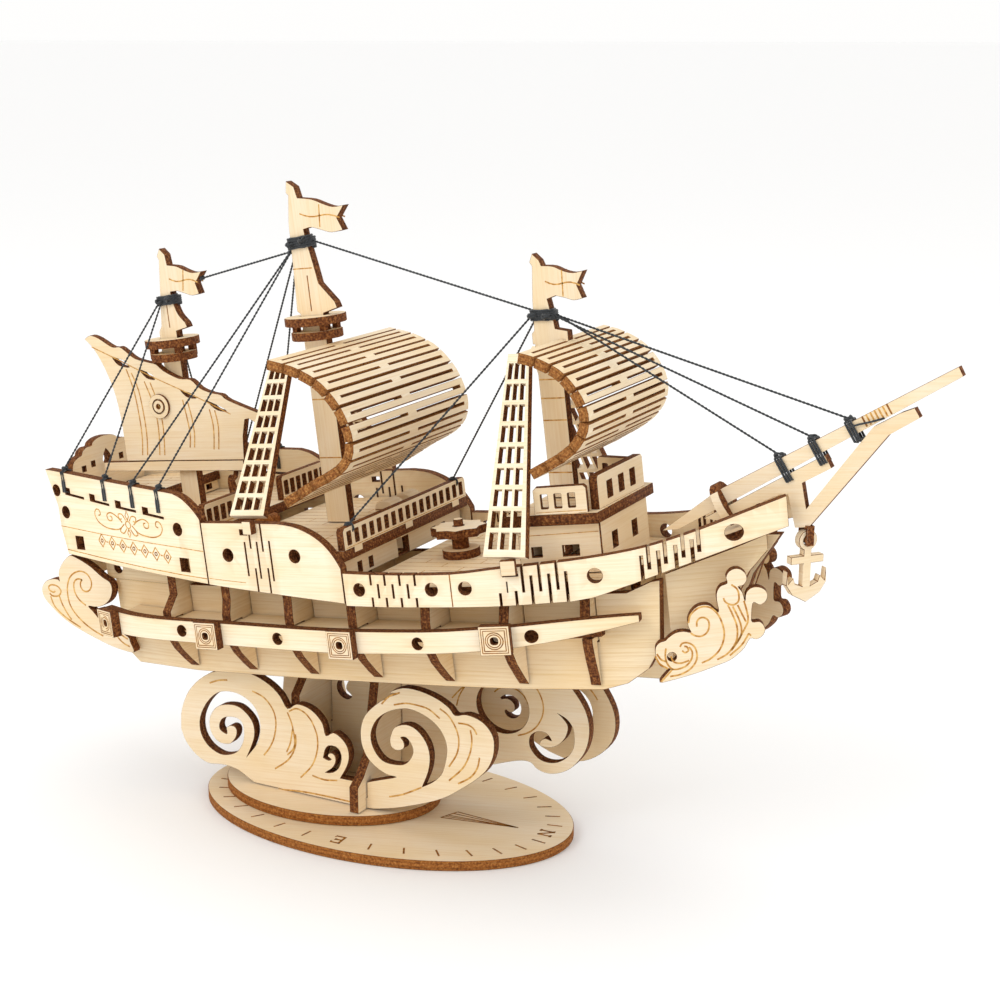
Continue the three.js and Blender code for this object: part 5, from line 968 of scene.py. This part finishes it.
# forecastle
f0, f1, y0, y1 = 66.2, 88.4, 24.0, 16.5
FA = math.atan2(y0 - y1, f1 - f0)
FL = math.hypot(f1 - f0, y0 - y1)
M_FC = SHIP @ Matrix.Translation((f0, -y0, 0)) @ Matrix.Rotation(FA, 4, 'Z') @ Matrix.Translation((0, T / 2, 0)) @ Matrix(((1, 0, 0, 0), (0, 0, -1, 0), (0, 1, 0, 0), (0, 0, 0, 1)))
wall = [(0, 34.8), (FL, 34.8), (FL, 49.5), (19.5, 49.5), (19.5, 51.2), (16.5, 51.2), (16.5, 49.5), (7.5, 49.5), (7.5, 51.2), (4.5, 51.2), (4.5, 49.5), (0, 49.5)]
f_e = [([(0.3, 46.6), (FL - 0.3, 46.6)], 0.24, 2, 1), ([(0.3, 36.6), (FL - 0.3, 36.6)], 0.24, 2, 1)]
for mi in (False, True):
    nm = '_port' if mi else '_stbd'
    plate('fc_wall' + nm, 'forecastle_deck', wall, holes=[rect(12.4, 17.2, 40.0, 43.2), rect(3.5, 6.5, 40.2, 43.2)], mtx=M_FC, engr=f_e, bev=0.1, mirror=mi)
plate('fc_front', 'forecastle_deck', rect(-y1 + 0.2, y1 - 0.2, 34.8, 49.5), holes=[rect(-9.3, -5.5, 39.8, 44.6), rect(4.6, 8.4, 39.8, 44.6)], t=2.6, mtx=M_cross(f1 - 1.0), bev=0.1)
plate('fc_back', 'forecastle_deck', rect(-y0 + 3.4, y0 - 3.4, 34.8, 49.5), holes=[rect(-4, 4, 35.2, 44.5), rect(-14, -10.6, 39.6, 43.6), rect(10.6, 14, 39.6, 43.6)], t=2.6, mtx=M_cross(f0 + 1.4), bev=0.1, engr=[([(-y0 + 4, 46.6), (y0 - 4, 46.6)], 0.24, 2, -1)])
plate('fc_deck', 'forecastle_deck', [(f0 - 3, -y0 - 1.6), (f1 + 1.4, -y1 - 3.2), (f1 + 1.4, y1 + 3.2), (f0 - 3, y0 + 1.6)], mtx=M_flat(49.5 + T / 2), bev=0.1, engr=[([(f0 - 1.5, y), (f1 + 1.5, y)], 0.24, 2, 1) for y in (-13.2, -8.8, -4.4, 0, 4.4, 8.8, 13.2)])
M_FR = SHIP @ Matrix.Translation((f0 + 6.0, -y0 + 0.4, 0)) @ Matrix.Rotation(FA * 0.86, 4, 'Z') @ Matrix.Translation((0, 1.3, 0)) @ Matrix(((1, 0, 0, 0), (0, 0, -1, 0), (0, 1, 0, 0), (0, 0, 0, 1)))
r_o = [(0, 52.7), (9.4, 52.7), (9.4, 50.6), (12.6, 50.6), (12.6, 52.7), (15.2, 52.7), (15.2, 59.8), (14.4, 60.6), (0.8, 60.6), (0, 59.8)]
for mi in (False, True):
    nm = '_port' if mi else '_stbd'
    plate('fc_rail' + nm, 'forecastle_deck', r_o, holes=[rrect(2.0 + i * 3.9, 4.1 + i * 3.9, 54.4, 58.6, 0.2, 1) for i in range(3)], t=2.6, mtx=M_FR, bev=0.1, mirror=mi, engr=[([(0.4, 53.4), (14.8, 53.4)], 0.2, 2, 1)])
fr = y1 - 0.6
plate('fc_rail_front', 'forecastle_deck', [(-fr, 52.7), (fr, 52.7), (fr, 61.6), (fr - 0.8, 62.4), (-fr + 0.8, 62.4), (-fr, 61.6)], holes=[rrect(y - 1.9, y + 1.9, 54.6, 59.6, 0.2, 1) for y in (-8.0, 0.0, 8.0)], t=2.6, mtx=M_cross(f1 - 0.9), bev=0.1)

# stern side panel that closes the hull above the lower planking
# this panel takes the darker inner face as painted shade
both_sides('stern_panel', 'hull_wall', outline=[(-93, 29.6), (-57.9, 29.6), (-57.9, 35.9), (-75, 37.2), (-93, 38.6)], holes=[circle(-87.4, 33.6, 2.0, 20)], t=2.6, fn=bend(WALL_TAB, t=2.6, off=0.2), cuts=frange(-90, -58, 5.0), bev=0.1, smoothing=True, face=FACE_INNER_SHADE)
# tabs under the shroud ladders that drop into the bulwarks
both_sides('main_tab', 'main_ladder', outline=rect(-16.3, -13.1, 51.0, 55.0), t=2.4, fn=bend(B_TAB, t=2.4, off=2.5), bev=0.1)
both_sides('fore_tab', 'fore_ladder', outline=rect(66.5, 70.5, 38.7, 43.0), t=2.4, fn=bend(B_TAB, t=2.4, off=2.5), bev=0.1)

# ================================================================== cargo and small fittings on deck
def log_pile(name, node, s, y, h, n, r, L):
    for i in range(n):
        plate('%s_%d' % (name, i), node, circle(s, h + r + i * 2 * r * 0.92, r, 20), t=L, mtx=M_side(y), bev=0.14, edge=EDGE_G)
log_pile('log_a', 'quarter_deck', -24.5, -22.0, 45.0, 1, 1.9, 11)
log_pile('log_b', 'quarter_deck', -20.4, -22.0, 45.0, 1, 1.9, 11)
log_pile('log_c', 'quarter_deck', -22.4, -22.0, 48.2, 1, 1.9, 11)
for k, (s_, y_) in enumerate(((5.4, 6.0), (5.4, 17.0))):
    plate('chest_%d' % k, 'quarter_deck', sm([(s_ - 3.4, 45.0), (s_ - 3.4, 48.6), (s_ - 2.4, 50.4), (s_, 51.2), (s_ + 2.4, 50.4), (s_ + 3.4, 48.6), (s_ + 3.4, 45.0)], 2), t=7.0, mtx=M_side(y_), bev=0.15, edge=FACE, engr=[([(s_ - 3.2, 48.4), (s_ + 3.2, 48.4)], 0.3, 3, 0), (circle(s_, 47.0, 0.9, 10) + [(s_ + 0.9, 47.0)], 0.35, 3, 0)])

# ================================================================== rigging: fine black thread
def tube(bm, pts, r, n=8):
    P_ = [Vector(p) for p in pts]
    rows = []
    up = Vector((0.13, 0.27, 0.95)).normalized()
    m = len(P_) - 1
    for i, p in enumerate(P_):
        d = (P_[min(m, i + 1)] - P_[max(0, i - 1)]).normalized()
        a = d.cross(up)
        if a.length < 0.05:
            a = d.cross(Vector((1, 0, 0)))
        a.normalize()
        b = d.cross(a)
        rows.append([bm.verts.new(p + (a * math.cos(2 * math.pi * k / n) + b * math.sin(2 * math.pi * k / n)) * r) for k in range(n)])
    for i in range(m):
        for k in range(n):
            bm.faces.new((rows[i][k], rows[i][(k + 1) % n], rows[i + 1][(k + 1) % n], rows[i + 1][k]))
    bm.faces.new(rows[0][::-1]); bm.faces.new(rows[-1])

def twisted(bm, a, b, r, pitch=2.4, sag=0.0):
    # two plies laid round each other
    a, b = Vector(a), Vector(b)
    L = (b - a).length
    d = (b - a).normalized()
    u = d.cross(Vector((0, 0, 1))).normalized()
    v = d.cross(u)
    n = max(8, int(L / pitch * 5))
    for ph in (0, math.pi):
        pts = []
        for i in range(n + 1):
            f = i / n
            an = 2 * math.pi * L * f / pitch + ph
            p = a + (b - a) * f + (u * math.cos(an) + v * math.sin(an)) * r * 0.52
            p.z -= sag * 4 * f * (1 - f)
            pts.append(p)
        tube(bm, pts, r * 0.62, 5)

def coil(bm, s0, s1, h, y, r, turns, dh, tilt=0.0):
    pts = []
    n = turns * 20
    for i in range(n + 1):
        a = 2 * math.pi * i / 20
        c, s = math.cos(a), math.sin(a)
        k = 0.42
        x = math.copysign(abs(c) ** k, c) * (s1 - s0) / 2 + (s0 + s1) / 2
        yy = math.copysign(abs(s) ** k, s) * y
        pts.append((x, yy, h + dh * i / n + tilt * (x - (s0 + s1) / 2) + 0.12 * math.sin(3.1 * i)))
    tube(bm, pts, r, 6)

def knot(bm, c, R, r):
    for j in range(3):
        ax = Matrix.Rotation(rng.uniform(0, 3.14), 3, 'Z') @ Matrix.Rotation(rng.uniform(-0.8, 0.8), 3, 'X')
        pts = [Vector(c) + ax @ Vector((R * math.cos(t), R * 0.8 * math.sin(t), 0.25 * math.sin(3 * t))) for t in (2 * math.pi * i / 12 for i in range(13))]
        tube(bm, pts, r, 6)

def rope_obj(name, node, build):
    bm = bmesh.new()
    bm.loops.layers.uv.new('grain')
    build(bm)
    for v in bm.verts:
        v.co = (SHIP @ v.co) * MM
    bmesh.ops.recalc_face_normals(bm, faces=bm.faces)
    me = bpy.data.meshes.new(name)
    bm.to_mesh(me); bm.free()
    me.materials.append(THREAD)
    for p in me.polygons:
        p.use_smooth = True
    ob = bpy.data.objects.new(name, me)
    scene.collection.objects.link(ob)
    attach(ob, BODY[node]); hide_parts(node)
RR = 0.33
def rail_knot(bm, s, sg, htop, hslot):
    b = lerp(B_TAB, s)
    yo, yi = sg * (b + 0.4), sg * (b - T - 0.4)
    for j in range(2):
        o = j * 0.75 - 0.3
        pts = [(s + o, sg * (b - T / 2), htop + 0.55), (s + o, yo, htop + 0.1), (s + o + 0.1, yo + sg * 0.05, (htop + hslot) / 2), (s + o, yo, hslot), (s + o, sg * (b - 1), hslot - 0.4)]
        tube(bm, pts, 0.34, 6)
        pts = [(s + o, sg * (b - T / 2), htop + 0.55), (s + o, yi, htop + 0.1), (s + o + 0.1, yi, (htop + hslot) / 2), (s + o, yi, hslot)]
        tube(bm, pts, 0.34, 6)
    knot(bm, (s, sg * (b - T / 2), htop + 1.1), 0.85, 0.32)
def ctop_h(s):
    return 67.7 - (s + 108.2) * (5.4 / 62.2)
def b_miz(bm):
    coil(bm, -68.5, -61.4, 116.8, 2.3, 0.4, 5, 3.0, 0.05)
    knot(bm, (-67.0, -2.4, 118.2), 1.3, 0.34); knot(bm, (-63.4, -2.3, 118.9), 1.2, 0.34)
    for sg in (-1, 1):
        for s, a in ((-99.4, (-67.2, sg * 2.4, 118.0)), (-78.6, (-66.4, sg * 2.4, 117.8))):
            twisted(bm, a, (s, sg * (lerp(B_TAB, s) - T / 2), ctop_h(s) + 1.2), RR)
            rail_knot(bm, s, sg, ctop_h(s), ctop_h(s) - 6.4)
rope_obj('rig_miz', 'rigging_mizzen', b_miz)
def b_main(bm):
    coil(bm, -15.0, -6.8, 131.2, 2.3, 0.42, 5, 3.6, 0.06)
    knot(bm, (-13.6, -2.4, 132.6), 1.4, 0.36); knot(bm, (-9.0, -2.4, 133.8), 1.3, 0.36); knot(bm, (-14.9, 0, 130.4), 1.2, 0.36)
    for sg in (-1, 1):
        for s, a in ((-65.2, (-14.6, sg * 1.6, 130.4)), (-53.2, (-14.4, sg * 1.8, 130.2))):
            twisted(bm, a, (s, sg * (lerp(B_TAB, s) - T / 2), ctop_h(s) + 1.2), RR)
            rail_knot(bm, s, sg, ctop_h(s), ctop_h(s) - 6.8)
    twisted(bm, (-14.8, 0, 130.6), (-50.2, 0, 124.6), RR)
    twisted(bm, (-6.8, 0, 133.4), (65.8, 0, 108.2), RR)
    knot(bm, (-50.6, 0, 124.6), 0.8, 0.3)
rope_obj('rig_main', 'rigging_main', b_main)
def spar_at(s):
    f = (s - 118.4) / (188.2 - 118.4)
    return 54.6 + f * (87.1 - 54.6)
def b_fore(bm):
    coil(bm, 65.9, 73.2, 105.0, 2.3, 0.4, 5, 3.2, -0.04)
    knot(bm, (67.0, -2.4, 106.8), 1.4, 0.36); knot(bm, (71.4, -2.4, 106.4), 1.3, 0.36)
    for sg in (-1, 1):
        twisted(bm, (66.0, sg * 2.3, 106.2), (14.4, sg * 31.4, 52.0), RR)
        knot(bm, (14.3, sg * 31.4, 51.8), 0.9, 0.32)
        pts = [(14.3 + 1.6 * math.cos(t), sg * 31.4, 50.9 + 1.5 * math.sin(t)) for t in (2 * math.pi * i / 16 for i in range(17))]
        tube(bm, pts, 0.32, 6)
    d = Vector((69.8, 0, 32.5)).normalized()
    nrm = Vector((-d.z, 0, d.x))
    for s, y in ((158, 0.2), (147.5, -1.0), (137.5, 1.0)):
        h = spar_at(s)
        top = Vector((s, 0, h))
        dep = 2.6 if s < 150 else 2.2
        for j in range(3):
            c = top + d * (j * 0.8 - 0.8)
            lo = -6.6 if s < 152 else -5.2
            pts = [c + nrm * 0.5 + Vector((0, 2.0, 0)), c + nrm * 0.55 + Vector((0, -2.0, 0)), c + nrm * 0.0 + Vector((0, -2.1, 0)), c + nrm * lo + Vector((0, -2.1, 0)), c + nrm * (lo - 0.4) + Vector((0, 0, 0)), c + nrm * lo + Vector((0, 2.1, 0)), c + Vector((0, 2.1, 0)), c + nrm * 0.5 + Vector((0, 2.0, 0))]
            if s > 152 or j < 3:
                tube(bm, pts[:], 0.36, 6)
        knot(bm, tuple(top + nrm * 1.0), 1.2, 0.34)
        twisted(bm, (73.2, y, 106.4), tuple(top + nrm * 1.2), RR)
    # a loose end lying along the lower spar
    tube(bm, [(158, -2.3, spar_at(158) - 1), (161, -2.4, spar_at(161) - 1.6), (164.5, -2.3, spar_at(164.5) - 2.6), (168, -2.2, spar_at(168) - 3.4)], 0.3, 6)
rope_obj('rig_fore', 'rigging_fore', b_fore)

# ================================================================== floor, light, camera
def floor():
    me = bpy.data.meshes.new('floor')
    s = 60.0
    me.from_pydata([(-s, -s, -0.0002), (s, -s, -0.0002), (s, s, -0.0002), (-s, s, -0.0002)], [], [(0, 1, 2, 3)])
    ob = bpy.data.objects.new('floor', me)
    scene.collection.objects.link(ob)
    m, nt, b = new_mat('floor')
    b.inputs['Base Color'].default_value = (0.97, 0.97, 0.97, 1)
    b.inputs['Roughness'].default_value = 0.9
    b.inputs['Specular IOR Level'].default_value = 0.1
    me.materials.append(m)
floor()
w = bpy.data.worlds.new('studio')
scene.world = w
w.use_nodes = True
w.node_tree.nodes['Background'].inputs['Color'].default_value = (1.0, 0.995, 0.985, 1)
w.node_tree.nodes['Background'].inputs['Strength'].default_value = 1.0

def area_light(name, loc, target, size, power, color=(1, 1, 1)):
    ld = bpy.data.lights.new(name, 'AREA')
    ld.shape = 'DISK'
    ld.size = size
    ld.energy = power
    ld.color = color
    ob = bpy.data.objects.new(name, ld)
    ob.location = loc
    d = Vector(target) - Vector(loc)
    ob.rotation_euler = d.to_track_quat('-Z', 'Y').to_euler()
    scene.collection.objects.link(ob)
area_light('key', (-0.35, -1.1, 1.0), (0, 0, 0.08), 0.7, 5.4, (1, 0.985, 0.96))
area_light('fill', (1.2, -0.3, 0.7), (0, 0, 0.1), 1.0, 1.0, (0.97, 0.985, 1))
area_light('top', (0.1, 0.4, 1.3), (0, 0, 0.08), 1.0, 1.2)

cam = bpy.data.cameras.new('camera')
cam.sensor_width = 36
cam.lens = 64.8
cam.clip_start = 0.01
co = bpy.data.objects.new('camera', cam)
az, el = 0.4842, 0.253
back = Vector((math.sin(az) * math.cos(el), -math.cos(az) * math.cos(el), math.sin(el)))
co.location = (0.2847099, -0.4621112, 0.2444171)
co.rotation_mode = 'QUATERNION'
co.rotation_quaternion = (-back).to_track_quat('-Z', 'Y')
scene.collection.objects.link(co)
scene.camera = co
scene.view_settings.view_transform = 'Standard'
scene.view_settings.look = 'None'
